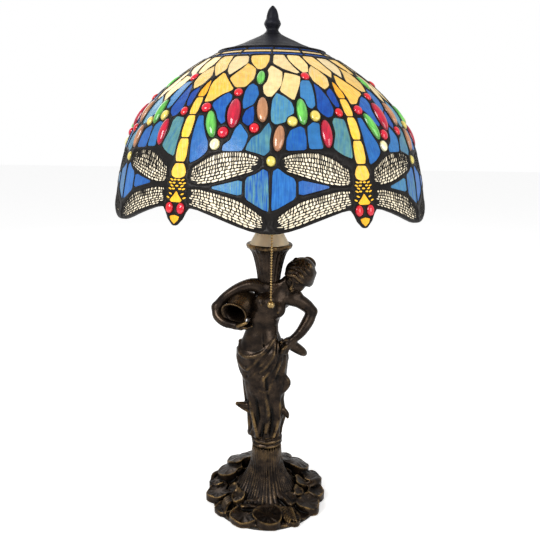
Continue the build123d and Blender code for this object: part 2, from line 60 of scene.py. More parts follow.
def top_of(node):
    """Highest point of a CAD node, in millimetres."""
    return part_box(node)[1][2] / MM


def foot_of(node):
    """Lowest point of a CAD node, in millimetres."""
    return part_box(node)[0][2] / MM


def radius_of(node):
    """Largest reach of a CAD node along X from its middle, in millimetres."""
    low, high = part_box(node)
    return (high[0] - low[0]) / 2 / MM


# %% [markdown]
# ## Camera, floor and light
# A product picture of a lamp: the camera stands a little above the shade's rim and looks down about
# thirteen degrees, so the inside of the shade stays hidden. The room is a plain white studio. White comes
# from what the camera rays see, not from more light, so colours on the lamp stay as they are written.

# %% Camera
scene = bpy.context.scene
scene.view_settings.view_transform = "Standard"
camera_data = bpy.data.cameras.new("camera")
camera = bpy.data.objects.new("camera", camera_data)
scene.collection.objects.link(camera)
camera_data.lens = 38.25
camera_data.sensor_width = 36.0
camera_data.shift_x = 0.0017
camera_pitch = math.radians(90 - 13.18)
camera_roll = 0.014
camera.matrix_world = (
    Matrix.Translation((0, -0.7773, 0.5367))
    @ Matrix.Rotation(camera_pitch, 4, "X")
    @ Matrix.Rotation(camera_roll, 4, "Z")
)
scene.camera = camera
print("camera at", tuple(round(v, 3) for v in camera.location))


# %% Nodes made short
def new_material(name):
    """A material with an empty tree but its Principled BSDF and output; returns material, tree, shader."""
    material = bpy.data.materials.new(name)
    material.use_nodes = True
    tree = material.node_tree
    return material, tree, tree.nodes["Principled BSDF"]


def add(tree, kind, values=None, **settings):
    """Adds a node, sets its properties and the default values of its named or numbered inputs."""
    node = tree.nodes.new(kind)
    for key, value in settings.items():
        setattr(node, key, value)
    fill(node, values or {})
    return node


def fill(node, values):
    """Sets the default values of a node's named or numbered inputs."""
    for key, value in values.items():
        node.inputs[key].default_value = value


def hook(tree, *joins):
    """Links (node, output, node, input) rows, in the order given."""
    for source, out, target, into in joins:
        tree.links.new(source.outputs[out], target.inputs[into])


def bumped(tree, shader, group, strength, distance):
    """Feeds a group's Height to the shader's Normal through a Bump node."""
    bump = add(tree, "ShaderNodeBump", {"Strength": strength, "Distance": distance})
    hook(tree, (group, "Height", bump, "Height"), (bump, 0, shader, "Normal"))


def mask_group(name, inputs):
    """Shader group with number inputs, and outputs Mask and Height; returns it and its two end nodes."""
    group = bpy.data.node_groups.new(name, "ShaderNodeTree")
    for label, value in inputs.items():
        group.interface.new_socket(label, in_out="INPUT", socket_type="NodeSocketFloat").default_value = value
    for label in ("Mask", "Height"):
        group.interface.new_socket(label, in_out="OUTPUT", socket_type="NodeSocketFloat")
    return group, group.nodes.new("NodeGroupInput"), group.nodes.new("NodeGroupOutput")


def rgb(red, green, blue):
    """A display colour from 0 to 255 as the linear colour that a shader wants."""
    def linear(part):
        part = part / 255
        return part / 12.92 if part <= 0.04045 else ((part + 0.055) / 1.055) ** 2.4
    return (linear(red), linear(green), linear(blue), 1.0)


def mix_colour(tree, factor, first, second, blend="MIX"):
    """Mixes two colours, each a socket or a plain colour; returns the mixed colour's socket."""
    node = add(tree, "ShaderNodeMix", data_type="RGBA", blend_type=blend)
    for index, value in ((0, factor), (6, first), (7, second)):
        if isinstance(value, bpy.types.NodeSocket):
            tree.links.new(value, node.inputs[index])
        else:
            node.inputs[index].default_value = value
    return node.outputs[2]


# %% Floor, world and lamps
world = bpy.data.worlds.new("studio")
scene.world = world
world.use_nodes = True
sky = world.node_tree
backdrop = sky.nodes["Background"]
backdrop.inputs["Color"].default_value = (1, 1, 1, 1)
path = add(sky, "ShaderNodeLightPath")
seen = add(sky, "ShaderNodeMath", operation="MAXIMUM")
hook(sky, (path, "Is Camera Ray", seen, 0), (path, "Is Transmission Ray", seen, 1))
level = add(sky, "ShaderNodeMapRange", {"To Min": 0.55, "To Max": 1.0})
hook(sky, (seen, 0, level, "Value"), (level, 0, backdrop, "Strength"))

floor_material, tree, shader = new_material("studio_floor")
fill(shader, {"Base Color": (0.9, 0.9, 0.9, 1), "Roughness": 0.9, "Emission Color": (1, 1, 1, 1)})
floor_path = add(tree, "ShaderNodeLightPath")
floor_glow = add(tree, "ShaderNodeMath", {1: 0.45}, operation="MULTIPLY")
hook(tree, (floor_path, "Is Camera Ray", floor_glow, 0), (floor_glow, 0, shader, "Emission Strength"))
floor_mesh = bpy.data.meshes.new("floor")
floor_mesh.from_pydata([(-9, -9, 0), (9, -9, 0), (9, 9, 0), (-9, 9, 0)], [], [(0, 1, 2, 3)])
floor_mesh.materials.append(floor_material)
floor = bpy.data.objects.new("floor", floor_mesh)
scene.collection.objects.link(floor)


def area_lamp(name, place, aim, size, power):
    """A soft square lamp at a place, turned towards a point."""
    data = bpy.data.lights.new(name, "AREA")
    data.size = size
    data.energy = power
    lamp = bpy.data.objects.new(name, data)
    lamp.location = place
    lamp.rotation_euler = (Vector(aim) - Vector(place)).to_track_quat("-Z", "Y").to_euler()
    scene.collection.objects.link(lamp)
    return lamp


area_lamp("key", (-1.3, -1.6, 1.6), (0, 0, 0.35), 1.0, 30)
area_lamp("fill", (1.3, -1.5, 0.9), (0, 0, 0.3), 1.2, 12)
area_lamp("back", (-0.9, 1.8, 1.5), (0, 0, 0.4), 1.2, 8)


# %% [markdown]
# ## Small tools
# `Sheet` collects faces for one piece. Each face can carry two colours and a place in a pattern, which the
# glass materials read back. `dress` turns it into an object that rides on its body.

# %% A collector for faces, and how a piece is finished
class Sheet:
    """Vertices in millimetres and faces, with a base tint and a streak tint for every face."""

    def __init__(self):
        self.points = []
        self.faces = []
        self.tints = []
        self.streaks = []
        self.grain = []

    def add(self, points, faces, tint=(1, 1, 1), streak=(1, 1, 1), grain=None):
        base = len(self.points)
        self.points.extend(points)
        self.grain.extend(grain if grain is not None else [(0.0, 0.0)] * len(points))
        for face in faces:
            self.faces.append(tuple(base + index for index in face))
            self.tints.append(tint)
            self.streaks.append(streak)

    def mesh(self, name):
        mesh = bpy.data.meshes.new(name)
        mesh.from_pydata([Vector(p) * MM for p in self.points], [], self.faces)
        loops = [loop.vertex_index for loop in mesh.loops]
        layer = mesh.uv_layers.new(name="grain")
        layer.data.foreach_set("uv", np.array([self.grain[v] for v in loops], dtype=np.float32).ravel())
        sizes = [len(face) for face in self.faces]
        for attribute, colours in (("tint", self.tints), ("streak", self.streaks)):
            data = mesh.color_attributes.new(attribute, "FLOAT_COLOR", "CORNER")
            rows = np.repeat(np.array([rgb(*c) if max(c) > 1 else (*c, 1.0) for c in colours]), sizes, axis=0)
            data.data.foreach_set("color", rows.astype(np.float32).ravel())
        mesh.update()
        return mesh


def dress(name, mesh, body, material=None, replaces=(), smooth=True):
    """Makes an object of a mesh, smooths it, and hands it to the frame."""
    piece = bpy.data.objects.new(name, mesh)
    scene.collection.objects.link(piece)
    if material is not None:
        mesh.materials.clear()
        mesh.materials.append(material)
    mesh.polygons.foreach_set("use_smooth", [smooth] * len(mesh.polygons))
    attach(piece, body)
    if replaces:
        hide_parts(*replaces)
    print(f"{name}: {len(mesh.polygons)} faces on {body}")
    return piece


def revolved(profile, steps, ripple=None):
    """Closed lathe mesh data about Z from (radius, height) points, first to last and back to first."""
    angles = np.arange(steps) * 2 * math.pi / steps
    points = []
    for index, (radius, height) in enumerate(profile):
        for angle in angles:
            reach = radius + (ripple(index, angle) if ripple else 0.0)
            points.append((reach * math.cos(angle), reach * math.sin(angle), height))
    faces = []
    rows = len(profile)
    for row in range(rows):
        below, above = row * steps, (row + 1) % rows * steps
        for step in range(steps):
            after = (step + 1) % steps
            faces.append((below + step, below + after, above + after, above + step))
    return points, faces
# %% [markdown]
# ## The shade's drawing
# A leaded shade is made over a mould from flat pieces of glass, each wrapped in foil and soldered to its
# neighbours. The drawing repeats six times round the shade, so one sixth is enough. It is written in two
# numbers: units round the dome, 58 to a sixth, counted from the front, and `run`, the millimetres of glass
# from the rim upwards. The corners are listed one by one.

# %% The dome that the drawing is wrapped on
shade_radius = 203.9
rim_level = foot_of("rim_came") - 2.0
shoulder_level = top_of("shoulder_ring") - 2.0
shoulder_radius = radius_of("shoulder_ring") - 1.2
dome_reach = shade_radius - shoulder_radius
dome_rise = shoulder_level - rim_level
dome_corners = np.array([
    (shade_radius, rim_level),
    (shade_radius - 0.107 * dome_reach, rim_level + 0.449 * dome_rise),
    (shade_radius - 0.185 * dome_reach, rim_level + 0.696 * dome_rise),
    (shoulder_radius, shoulder_level),
])
sixth = 60.0
units = 58.0
t = np.linspace(0, 1, 400)[:, None]
dome_line = (
    (1 - t) ** 3 * dome_corners[0] + 3 * (1 - t) ** 2 * t * dome_corners[1]
    + 3 * (1 - t) * t ** 2 * dome_corners[2] + t ** 3 * dome_corners[3]
)
step_lengths = np.hypot(*np.diff(dome_line, axis=0).T)
dome_run = np.concatenate([[0], np.cumsum(step_lengths)]) + 1.0
slope = np.gradient(dome_line, dome_run, axis=0)
slope = slope / np.hypot(slope[:, 0], slope[:, 1])[:, None]
top_run = dome_run[-1]
print("glass from rim to shoulder", round(top_run, 1), "mm")


def on_dome(places, lift=0.0):
    """Drawing places (units, run) to points in millimetres, lifted off the dome along its normal."""
    places = np.asarray(places, dtype=float)
    run = places[:, 1]
    radius, height = (np.interp(run, dome_run, dome_line[:, k]) for k in (0, 1))
    lean, rise = (np.interp(run, dome_run, slope[:, k]) for k in (0, 1))
    beyond = np.where(run > top_run, run - top_run, 0) + np.where(run < dome_run[0], run - dome_run[0], 0)
    radius = radius + lean * beyond + rise * lift
    height = height + rise * beyond - lean * lift
    angle = np.radians(places[:, 0] * sixth / units)
    return np.stack([radius * np.sin(angle), -radius * np.cos(angle), height], axis=1)


# %% Glass colours
cream, butter, honey = (228, 202, 142), (228, 194, 118), (238, 180, 56)
pearl, amber, deep_amber = (232, 208, 160), (250, 192, 50), (246, 160, 26)
sky, royal, deep = (44, 108, 172), (20, 78, 158), (12, 54, 140)
teal, sage, ice = (42, 104, 152), (96, 148, 140), (62, 128, 178)
crimson, ruby, leaf_green = (206, 2, 52), (222, 10, 14), (110, 204, 84)
dark_green, tan, straw = (52, 120, 48), (190, 134, 94), (226, 208, 106)
wing_cream = (246, 236, 212)

# %% Cream glass, from the shoulder down
panes = [
    # outline, base colour, streak colour
    ([(-36.2, 231), (-28.2, 230.5), (-27, 222), (-26, 210), (-24.7, 199), (-28, 186), (-30.7, 195.5),
      (-35.5, 212), (-36.7, 224)], cream, honey),
    ([(-26, 229), (-15.8, 229), (-14, 212.5), (-17, 201), (-20.8, 188), (-23, 196), (-25.2, 211)], pearl,
     cream),
    ([(-13.7, 229.5), (-1.6, 231), (-1.8, 217), (-3.5, 203), (-5.5, 198.5), (-7.3, 199), (-11.5, 213),
      (-13.3, 223)], butter, honey),
    ([(1.2, 231.5), (8.2, 231.5), (9.5, 219), (11.5, 205), (13.8, 193.5), (12, 191.5), (6, 200),
      (0.7, 211.5)],
     cream, pearl),
    ([(10.2, 231.5), (19, 231), (20.3, 221), (20.8, 211), (18.5, 195), (15.5, 194.5), (12.8, 206),
      (10.5, 220)],
     cream, butter),
    ([(-24.8, 192), (-23.5, 190), (-20, 178), (-16, 164), (-16.3, 161.5), (-20, 155), (-23, 146),
      (-26, 144.5), (-26.2, 158), (-27, 168), (-27, 177)], honey, butter),
    ([(-13.8, 211), (-11, 206), (-8.4, 199.5), (-8, 190), (-8.2, 180), (-11, 166.5), (-15, 166),
      (-19.5, 181.5), (-18.8, 186), (-15.3, 201)], butter, honey),
    ([(-0.3, 206.5), (5, 194), (4.8, 185), (3.9, 170), (2.3, 162), (0, 152), (-1.5, 152), (-2.9, 157),
      (-3.4, 168), (-1.8, 176), (-1.2, 188), (-1.9, 197)], cream, pearl),
    ([(6.2, 192), (11.5, 188), (13.3, 185.5), (12, 173), (10, 159), (8.4, 147), (3.4, 160.5), (4.4, 171),
      (5.8, 185)], cream, butter),
    ([(22.8, 209), (25, 201), (27.4, 186.5), (26, 173), (24, 168), (22.5, 165.5), (19.2, 178), (18.6, 192),
      (20.5, 202)], cream, honey),
]

# %% Blue glass, between the cream and the wings
panes += [
    ([(-17, 157), (-15.4, 153), (-15.2, 147), (-16.5, 137), (-16.2, 125), (-15.6, 119), (-16.6, 116.5),
      (-18.2, 122), (-19.5, 131), (-21.8, 139), (-21.9, 143), (-19, 153)], royal, sky),
    ([(-8, 171.5), (-6, 167), (-5, 155), (-6.5, 141), (-9.8, 134.5), (-10.5, 145), (-10.3, 160), (-9.5, 168)],
     sky, royal),
    ([(-6.5, 138), (-6, 129), (-6, 119), (-7.5, 114.5), (-9.3, 119), (-9.5, 124), (-8.8, 132), (-7.2, 136.5)],
     royal, deep),
    ([(2, 157), (5, 151), (7.2, 144), (7.8, 136), (7.6, 130), (5.3, 125.5), (4.6, 119.5), (1.5, 116.5),
      (0.2, 120), (0, 130), (0.5, 147)], ice, sage),
    ([(13.7, 178.5), (17, 178.5), (17.2, 172), (16.7, 155), (16, 141), (14.5, 136.5), (13.3, 139),
      (12.6, 149), (11.2, 152), (11.8, 164), (12.6, 174)], ice, sky),
    ([(18.7, 174), (20.3, 167.5), (22.4, 150), (22.8, 135), (21.5, 128), (19.8, 126), (17.8, 131),
      (16.8, 137), (17.6, 150), (18.4, 165)], royal, deep),
    ([(25.4, 167), (26, 160), (26, 142), (25.5, 139.5), (24.5, 140), (23.5, 147), (22.8, 158), (23.4, 162),
      (25, 166)], deep, royal),
    ([(-26, 126), (-24.2, 126), (-23.2, 115), (-21.7, 104), (-20.2, 95), (-20, 87), (-20.8, 83), (-23, 77),
      (-25.3, 73), (-26, 95)], sky, royal),
    ([(-15, 86.8), (-8.9, 87), (-7.9, 94), (-7.3, 103.5), (-10.2, 116.5), (-11.5, 110), (-12.5, 98.5),
      (-14.8, 92)], sky, teal),
    ([(-0.8, 118), (0, 110), (-0.6, 97), (-0.5, 87), (-2, 82.5), (-4, 85), (-7.6, 88), (-7, 94), (-5.8, 101),
      (-3.3, 105.5), (-1.8, 113)], teal, sage),
    ([(4.7, 88), (10.8, 89), (11, 100), (10.6, 112), (9.5, 114), (6.3, 109.5), (5, 100)], royal, teal),
    ([(12, 90), (16.3, 90.3), (15.6, 104), (16, 118), (14, 119), (12, 114), (11.8, 100)], sky, teal),
    ([(20.4, 90), (21.5, 87), (23.5, 83), (26, 79.5), (26.2, 100), (25.9, 123.5), (22.2, 125), (21.2, 120),
      (21.5, 107), (20, 92)], sage, teal),
    ([(-2.1, 68), (-0.8, 65.5), (-0.5, 25.5), (-2, 28), (-7, 38.5), (-7.1, 56), (-6.6, 59.5), (-4, 63)],
     royal, sage),
    ([(2.1, 69), (0.8, 66), (0.5, 26.5), (2, 29), (7.1, 39.5), (7.2, 55), (6.7, 59), (4.3, 63)], sky, royal),
    ([(-8.2, 57), (-8.2, 41), (-18.2, 48)], sky, sage),
    ([(8.2, 57.5), (8.2, 42), (18.4, 50.5)], royal, sky),
]

# %% The dragonfly's body, drawn about its own axis
body_axis = -29.0


def about_axis(outline):
    """A right-hand outline, top to bottom, mirrored to the left and moved onto the body's axis."""
    left = [(-u, run) for u, run in reversed(outline) if u > 0]
    return [(body_axis + u, run) for u, run in outline + left]


panes += [
    (about_axis([(0, 179), (0.8, 173), (1.5, 163), (1.6, 156), (1.3, 153)]), deep_amber, amber),
    (about_axis([(1.3, 150.5), (1.6, 146), (1.6, 133), (1.2, 128.5)]), amber, butter),
    (about_axis([(1.3, 126), (1.7, 121), (1.7, 106), (1.3, 101)]), amber, butter),
    (about_axis([(1.4, 98.5), (1.8, 93), (1.9, 80), (1.5, 74.5)]), amber, butter),
    (about_axis([(1.5, 71.5), (2.2, 67), (2.6, 63), (2.2, 59), (0.9, 57)]), amber, butter),
    (about_axis([(0, 42.5), (0.8, 38), (2.1, 33), (1.6, 31.6)]), amber, deep_amber),
    (about_axis([(0, 17), (1.6, 15.8), (1.2, 12.5), (0, 8.5)]), amber, deep_amber),
]
print("panes in one sixth:", len(panes))

# %% Jewels: middle, half width and half length in millimetres, turn in degrees, colours
jewels = [
    (-4.9, 182.5, 4.6, 12.4, 0, leaf_green, dark_green),
    (15.9, 186.5, 5.0, 6.3, 0, ruby, crimson),
    (-13.1, 157.5, 5.0, 5.6, 0, ruby, crimson),
    (-24.1, 136.5, 5.8, 5.9, 0, crimson, ruby),
    (-20.3, 116.5, 6.0, 16.8, 17, leaf_green, dark_green),
    (-12.9, 130.0, 7.2, 18.6, 2, crimson, (140, 0, 38)),
    (-3.1, 134.5, 6.0, 16.2, 3, tan, (160, 106, 66)),
    (-15.5, 106.5, 5.8, 6.1, 0, crimson, ruby),
    (-17.6, 93.2, 5.6, 6.3, 0, (250, 250, 214), straw),
    (-5.4, 111.5, 5.2, 5.5, 0, ruby, crimson),
    (2.5, 101.0, 5.8, 14.6, -8, tan, (150, 98, 70)),
    (7.0, 119.8, 5.5, 5.9, 0, straw, (206, 178, 66)),
    (10.7, 132.8, 5.8, 16.8, 0, leaf_green, dark_green),
    (15.2, 127.0, 5.6, 6.7, 0, straw, (206, 178, 66)),
    (18.2, 106.8, 6.0, 16.0, 0, crimson, (140, 0, 38)),
    (24.7, 132.0, 4.6, 5.6, 0, ruby, crimson),
    (0.1, 76.5, 4.9, 5.5, 0, straw, (196, 178, 60)),
    (body_axis - 2.05, 24.8, 4.9, 6.1, 4, ruby, crimson),
    (body_axis + 2.05, 24.8, 4.9, 6.1, -4, crimson, ruby),
]

# %% Wings: outlines as (units from the body's axis, run), the filigree plate lies inside them
upper_wing = [
    (4.1, 57), (4.4, 53), (7, 50.5), (12, 52.5), (17.3, 58), (21, 62), (24.6, 66), (26.2, 72), (26.2, 78),
    (25, 81.5), (22, 85), (18, 86.3), (14.3, 85.5), (11.5, 82.5), (9, 78), (6.5, 72), (4.2, 67),
]
lower_wing = [
    (4.0, 46), (8, 46.5), (13, 43), (18.2, 38.5), (21, 34.5), (24, 28), (26, 22.5), (27.6, 19), (28.1, 12),
    (27.9, 7.5), (26, 6.3), (23, 8.2), (20, 12), (16, 17.5), (12, 22.3), (7, 27), (4.6, 29), (4, 37),
]
rim_half = [
    (0, 6.3), (0.6, 7.2), (2.3, 13.5), (3.4, 21), (4.3, 25.2), (5.5, 25.7), (8, 24.1), (12, 19.6), (16, 14.6),
    (20, 9.3), (23.5, 5.3), (26.5, 3.1), (29, 2.6),
]
seam = [
    (24.7, 25.2), (25.1, 28), (25.35, 33), (25.4, 70), (26.7, 78), (26.7, 130), (26.8, 160), (27.2, 172),
    (28.6, 186), (26.4, 196), (23.2, 207.5), (21.6, 213), (20.8, 222), (20.4, 233.5),
]
# %% [markdown]
# ## Wings of pierced metal
# On these shades each wing is one or two pieces of cream glass under a thin etched plate, the filigree. Its
# openings look like stones in a wall: long bricks along the trailing edge, small cobbles in the middle and
# narrow upright ones by the leading edge. Rows of openings are laid between the wing's two edges, with a
# fixed seed for the unevenness.

# %% Openings of the filigree
def wing_edges(outline):
    """Splits a wing outline into its trailing and leading edge as functions of units from the body."""
    ordered = np.array(outline)
    root, tip = ordered[:, 0].min(), ordered[:, 0].max()
    start = int(np.argmin(ordered[:, 0] * 10 + ordered[:, 1]))
    end = int(np.argmax(ordered[:, 0] * 10 - abs(ordered[:, 1] - ordered[ordered[:, 0].argmax(), 1])))
    ring = np.roll(ordered, -start, axis=0)
    split = (end - start) % len(ordered)
    one, other = ring[: split + 1], np.vstack([ring[split:], ring[:1]])[::-1]
    lower, upper = (one, other) if one[:, 1].mean() < other[:, 1].mean() else (other, one)
    return (root, tip, lambda u: np.interp(u, lower[:, 0], lower[:, 1]),
            lambda u: np.interp(u, upper[:, 0], upper[:, 1]))


def wing_openings(outline, rows, seed):
    """Outlines of the openings in one wing, from rows of (share of the width, opening length in mm)."""
    dice = np.random.default_rng(seed)
    root, tip, lower, upper = wing_edges(outline)
    unit_mm = 3.5
    margin = 0.55
    openings = []
    levels = np.cumsum([0.0] + [share for share, _ in rows])
    levels = levels / levels[-1]
    for row, (_, length) in enumerate(rows):
        u = root + 0.35 + dice.uniform(0, 0.5)
        while u < tip - 0.3:
            width = length * dice.uniform(0.6, 1.5) / unit_mm
            after = min(u + width, tip - 0.15)
            if (after - u) * unit_mm < 1.2:
                break
            sides = []
            for edge in (u, after):
                bottom, top = lower(edge) + margin, upper(edge) - margin
                sides.append((bottom + (top - bottom) * levels[row],
                              bottom + (top - bottom) * levels[row + 1]))
            gap_u, gap_run = dice.uniform(0.32, 0.62) / unit_mm, dice.uniform(0.30, 0.50)
            height = min(high - low for low, high in sides)
            if height > 1.5:
                lean = dice.uniform(-0.4, 0.4, 4) * min(1.0, height / 4)
                corners = [
                    (u + gap_u, sides[0][0] + gap_run + lean[0]),
                    (after - gap_u, sides[1][0] + gap_run + lean[1]),
                    (after - gap_u, sides[1][1] - gap_run + lean[2]),
                    (u + gap_u, sides[0][1] - gap_run + lean[3]),
                ]
                openings.append(cut_corners(corners, 0.2))
            u = after
    return openings


def cut_corners(outline, share=0.25):
    """Softens a closed outline by cutting every corner."""
    ring = np.array(outline)
    after = np.roll(ring, -1, axis=0)
    pairs = zip(ring + (after - ring) * share, after - (after - ring) * share)
    return [tuple(p) for pair in pairs for p in pair]


upper_rows = [(0.8, 5.6), (0.9, 4.8), (0.9, 4.2), (1.0, 3.2), (1.1, 2.9), (1.3, 2.5), (1.5, 2.3)]
lower_rows = [(0.8, 5.0), (0.9, 5.8), (0.9, 5.0), (0.95, 5.2), (1.1, 4.0), (1.2, 3.2), (1.2, 2.8)]


def mirrored(outline):
    return [(-u, run) for u, run in reversed(outline)]


wing_outlines = []
wing_cells = []
for seed, (outline, rows) in enumerate([(upper_wing, upper_rows), (lower_wing, lower_rows)]):
    for hand in (1, -1):
        cells = wing_openings(outline, rows, 11 + 2 * seed + hand)
        place = body_axis if hand == 1 else body_axis + units
        shapes = [outline] + cells
        if hand == -1:
            shapes = [mirrored(shape) for shape in shapes]
        shapes = [[(u + place, run) for u, run in shape] for shape in shapes]
        wing_outlines.append(shapes[0])
        wing_cells += shapes[1:]
print("filigree openings in one sixth:", len(wing_cells))

# %% Openings of the thorax, where the wings join
thorax_openings = []
for run, spots in ((54.6, (-2.2, -0.9, 0.5, 2.0)), (51.2, (-2.6, -1.2, 1.2, 2.6)), (48.2, (-1.9, 0.0, 1.9)),
                   (45.0, (-2.5, -1.2, 1.2, 2.5)), (39.8, (-2.2, 2.2)), (35.8, (-3.0, 3.0))):
    for spot in spots:
        wide, tall, lean = (0.5, 1.15, 0.35) if abs(spot) > 1.5 else (0.62, 0.95, 0.0)
        tilt = lean * (1 if spot > 0 else -1)
        ring = [(body_axis + spot + wide * math.cos(a) + tilt * math.sin(a), run + tall * math.sin(a))
                for a in np.linspace(0, 2 * math.pi, 9)[:-1]]
        thorax_openings.append(ring)


# %% [markdown]
# ## Cutting the sixth
# All the outlines go into one Delaunay triangulation that keeps them as edges. Each triangle then knows if it
# is glass, an opening, or the solder between. Points are strewn in the wide places so that the sheet follows
# the dome, and next to every outline so that the solder can stand up as a rounded bead.

# %% Triangulate the sixth
unit_width = 3.1


def flat(places):
    """Drawing places to a nearly true flat pattern in millimetres."""
    return np.asarray(places, dtype=float) * (unit_width, 1.0)


def split_long(outline, longest):
    """Adds points along a closed outline so that no edge is longer than that."""
    ring = []
    count = len(outline)
    for index in range(count):
        a, b = np.array(outline[index]), np.array(outline[(index + 1) % count])
        parts = max(1, int(math.ceil(np.hypot(*((b - a) * (unit_width, 1))) / longest)))
        ring += [tuple(a + (b - a) * k / parts) for k in range(parts)]
    return ring


def counter_clockwise(outline):
    ring = flat(outline)
    after = np.roll(ring, -1, axis=0)
    area = (ring[:, 0] * after[:, 1] - after[:, 0] * ring[:, 1]).sum()
    return outline if area > 0 else outline[::-1]


pane_growth = 0.55


def grown(outline, amount):
    """Moves a closed outline out by that many millimetres, so that the solder between two panes is slim."""
    ring = flat(counter_clockwise(outline))
    side = np.roll(ring, -1, axis=0) - np.roll(ring, 1, axis=0)
    side = side / np.hypot(side[:, 0], side[:, 1])[:, None]
    moved = ring + np.stack([side[:, 1], -side[:, 0]], axis=1) * amount
    return [tuple(place) for place in moved / (unit_width, 1.0)]


def jewel_ring(u, run, half_width, half_length, turn, count=20):
    """Outline of a jewel on the dome, in drawing places."""
    radius = np.interp(run, dome_run, dome_line[:, 0])
    unit_mm = radius * math.radians(sixth / units)
    ring = []
    for angle in np.linspace(0, 2 * math.pi, count, endpoint=False):
        x, y = half_width * math.cos(angle), half_length * math.sin(angle)
        cosine, sine = math.cos(math.radians(turn)), math.sin(math.radians(turn))
        ring.append((u + (x * cosine - y * sine) / unit_mm, run + x * sine + y * cosine))
    return ring


rim = [(body_axis - u, run) for u, run in rim_half[4:0:-1]] + [(body_axis + u, run) for u, run in rim_half]
rim += [(body_axis + units - u, run) for u, run in rim_half[-2:3:-1]]
seam_left = [(u - units, run) for u, run in seam]
rim = [seam_left[0]] + rim[1:-1]
domain = rim + seam + seam_left[:0:-1]
kinds = ["domain"]
outlines = [split_long(domain, 4.0)]
for outline, _, _ in panes:
    kinds.append("pane")
    outlines.append(split_long(cut_corners(grown(outline, pane_growth), 0.12), 5.0))
for jewel in jewels:
    kinds.append("jewel")
    outlines.append(jewel_ring(*jewel[:5]))
for outline in wing_outlines:
    kinds.append("plate")
    outlines.append(split_long(outline, 5.0))
for outline in wing_cells:
    kinds.append("cell")
    outlines.append(outline)
for outline in thorax_openings:
    kinds.append("thorax")
    outlines.append(outline)
outlines = [counter_clockwise(outline) for outline in outlines]


def inside(points, outline):
    """True for each point that lies in a closed outline, both in drawing places."""
    ring = np.array(outline)
    after = np.roll(ring, -1, axis=0)
    x, y = points[:, 0][:, None], points[:, 1][:, None]
    crosses = (ring[:, 1] > y) != (after[:, 1] > y)
    rise = np.where(after[:, 1] == ring[:, 1], 1e-9, after[:, 1] - ring[:, 1])
    at = (after[:, 0] - ring[:, 0]) * (y - ring[:, 1]) / rise + ring[:, 0]
    return (crosses & (x < at)).sum(axis=1) % 2 == 1


bead_reach = 1.3
edge_tree_points = []
for kind, outline in zip(kinds[1:], outlines[1:]):
    if kind != "plate":
        edge_tree_points += [tuple(flat([p])[0]) for p in split_long(outline, 0.9)]
edge_tree = KDTree(len(edge_tree_points))
for index, (x, y) in enumerate(edge_tree_points):
    edge_tree.insert((x, y, 0), index)
edge_tree.balance()


def strewn_points():
    """Extra points: a coarse grid for the glass and the wide solder, and a ring just outside each outline."""
    grid_u, grid_run = np.meshgrid(np.arange(-36.5, 29, 2.1), np.arange(4, 233, 6.3))
    grid = np.stack([grid_u.ravel(), grid_run.ravel()], axis=1)
    grid[:, 0] += (np.round(grid[:, 1] / 6.3) % 2) * 1.05
    spots = [g for g, keep in zip(grid, inside(grid, domain)) if keep]
    for kind, outline in zip(kinds[1:], outlines[1:]):
        if kind in ("pane", "jewel", "thorax"):
            ring = flat(split_long(outline, 3.0))
            side = np.roll(ring, -1, axis=0) - np.roll(ring, 1, axis=0)
            side = side / np.maximum(np.hypot(side[:, 0], side[:, 1]), 1e-6)[:, None]
            outside = ring + np.stack([side[:, 1], -side[:, 0]], axis=1) * 1.0
            outside = outside / (unit_width, 1.0)
            spots += [p for p, keep in zip(outside, inside(outside, domain)) if keep]
    far = []
    for spot in spots:
        x, y = flat([spot])[0]
        if edge_tree.find((x, y, 0))[2] > 0.75:
            far.append(tuple(spot))
    return far


corner_list = []
face_list = []
for outline in outlines:
    face_list.append(list(range(len(corner_list), len(corner_list) + len(outline))))
    corner_list += [Vector(p) for p in flat(outline)]
corner_list += [Vector(flat([p])[0]) for p in strewn_points()]
cut = delaunay_2d_cdt(corner_list, [], face_list, 1, 1e-4, True)
cut_places = np.array([tuple(v) for v in cut[0]]) / (unit_width, 1.0)
cut_faces = [(tuple(face), [kinds[k] for k in sources], list(sources))
             for face, sources in zip(cut[2], cut[5])
             if 0 in sources]
print("one sixth:", len(cut_places), "points", len(cut_faces), "faces")

# %% Sort the faces
glass_faces = {}
web_faces = []
plate_faces = []
cell_faces = []
for face, sorts, sources in cut_faces:
    if "cell" in sorts or "thorax" in sorts:
        cell_faces.append((face, "cell" in sorts))
    elif "pane" in sorts or "jewel" in sorts:
        index = next(k for k in sources if kinds[k] in ("pane", "jewel"))
        glass_faces.setdefault(index, []).append(face)
    elif "plate" in sorts:
        plate_faces.append(face)
    else:
        web_faces.append(face)
print("glass", sum(map(len, glass_faces.values())), "solder", len(web_faces), "filigree", len(plate_faces),
      "openings", len(cell_faces))


# %% [markdown]
# ## Solder, filigree and glass as solid sheets
# Each kind of face becomes a closed slab: an outer skin, an inner skin and a wall round its edge. The solder
# stands proud of the glass on both sides, rounded from each edge; the filigree is a thin flat plate.

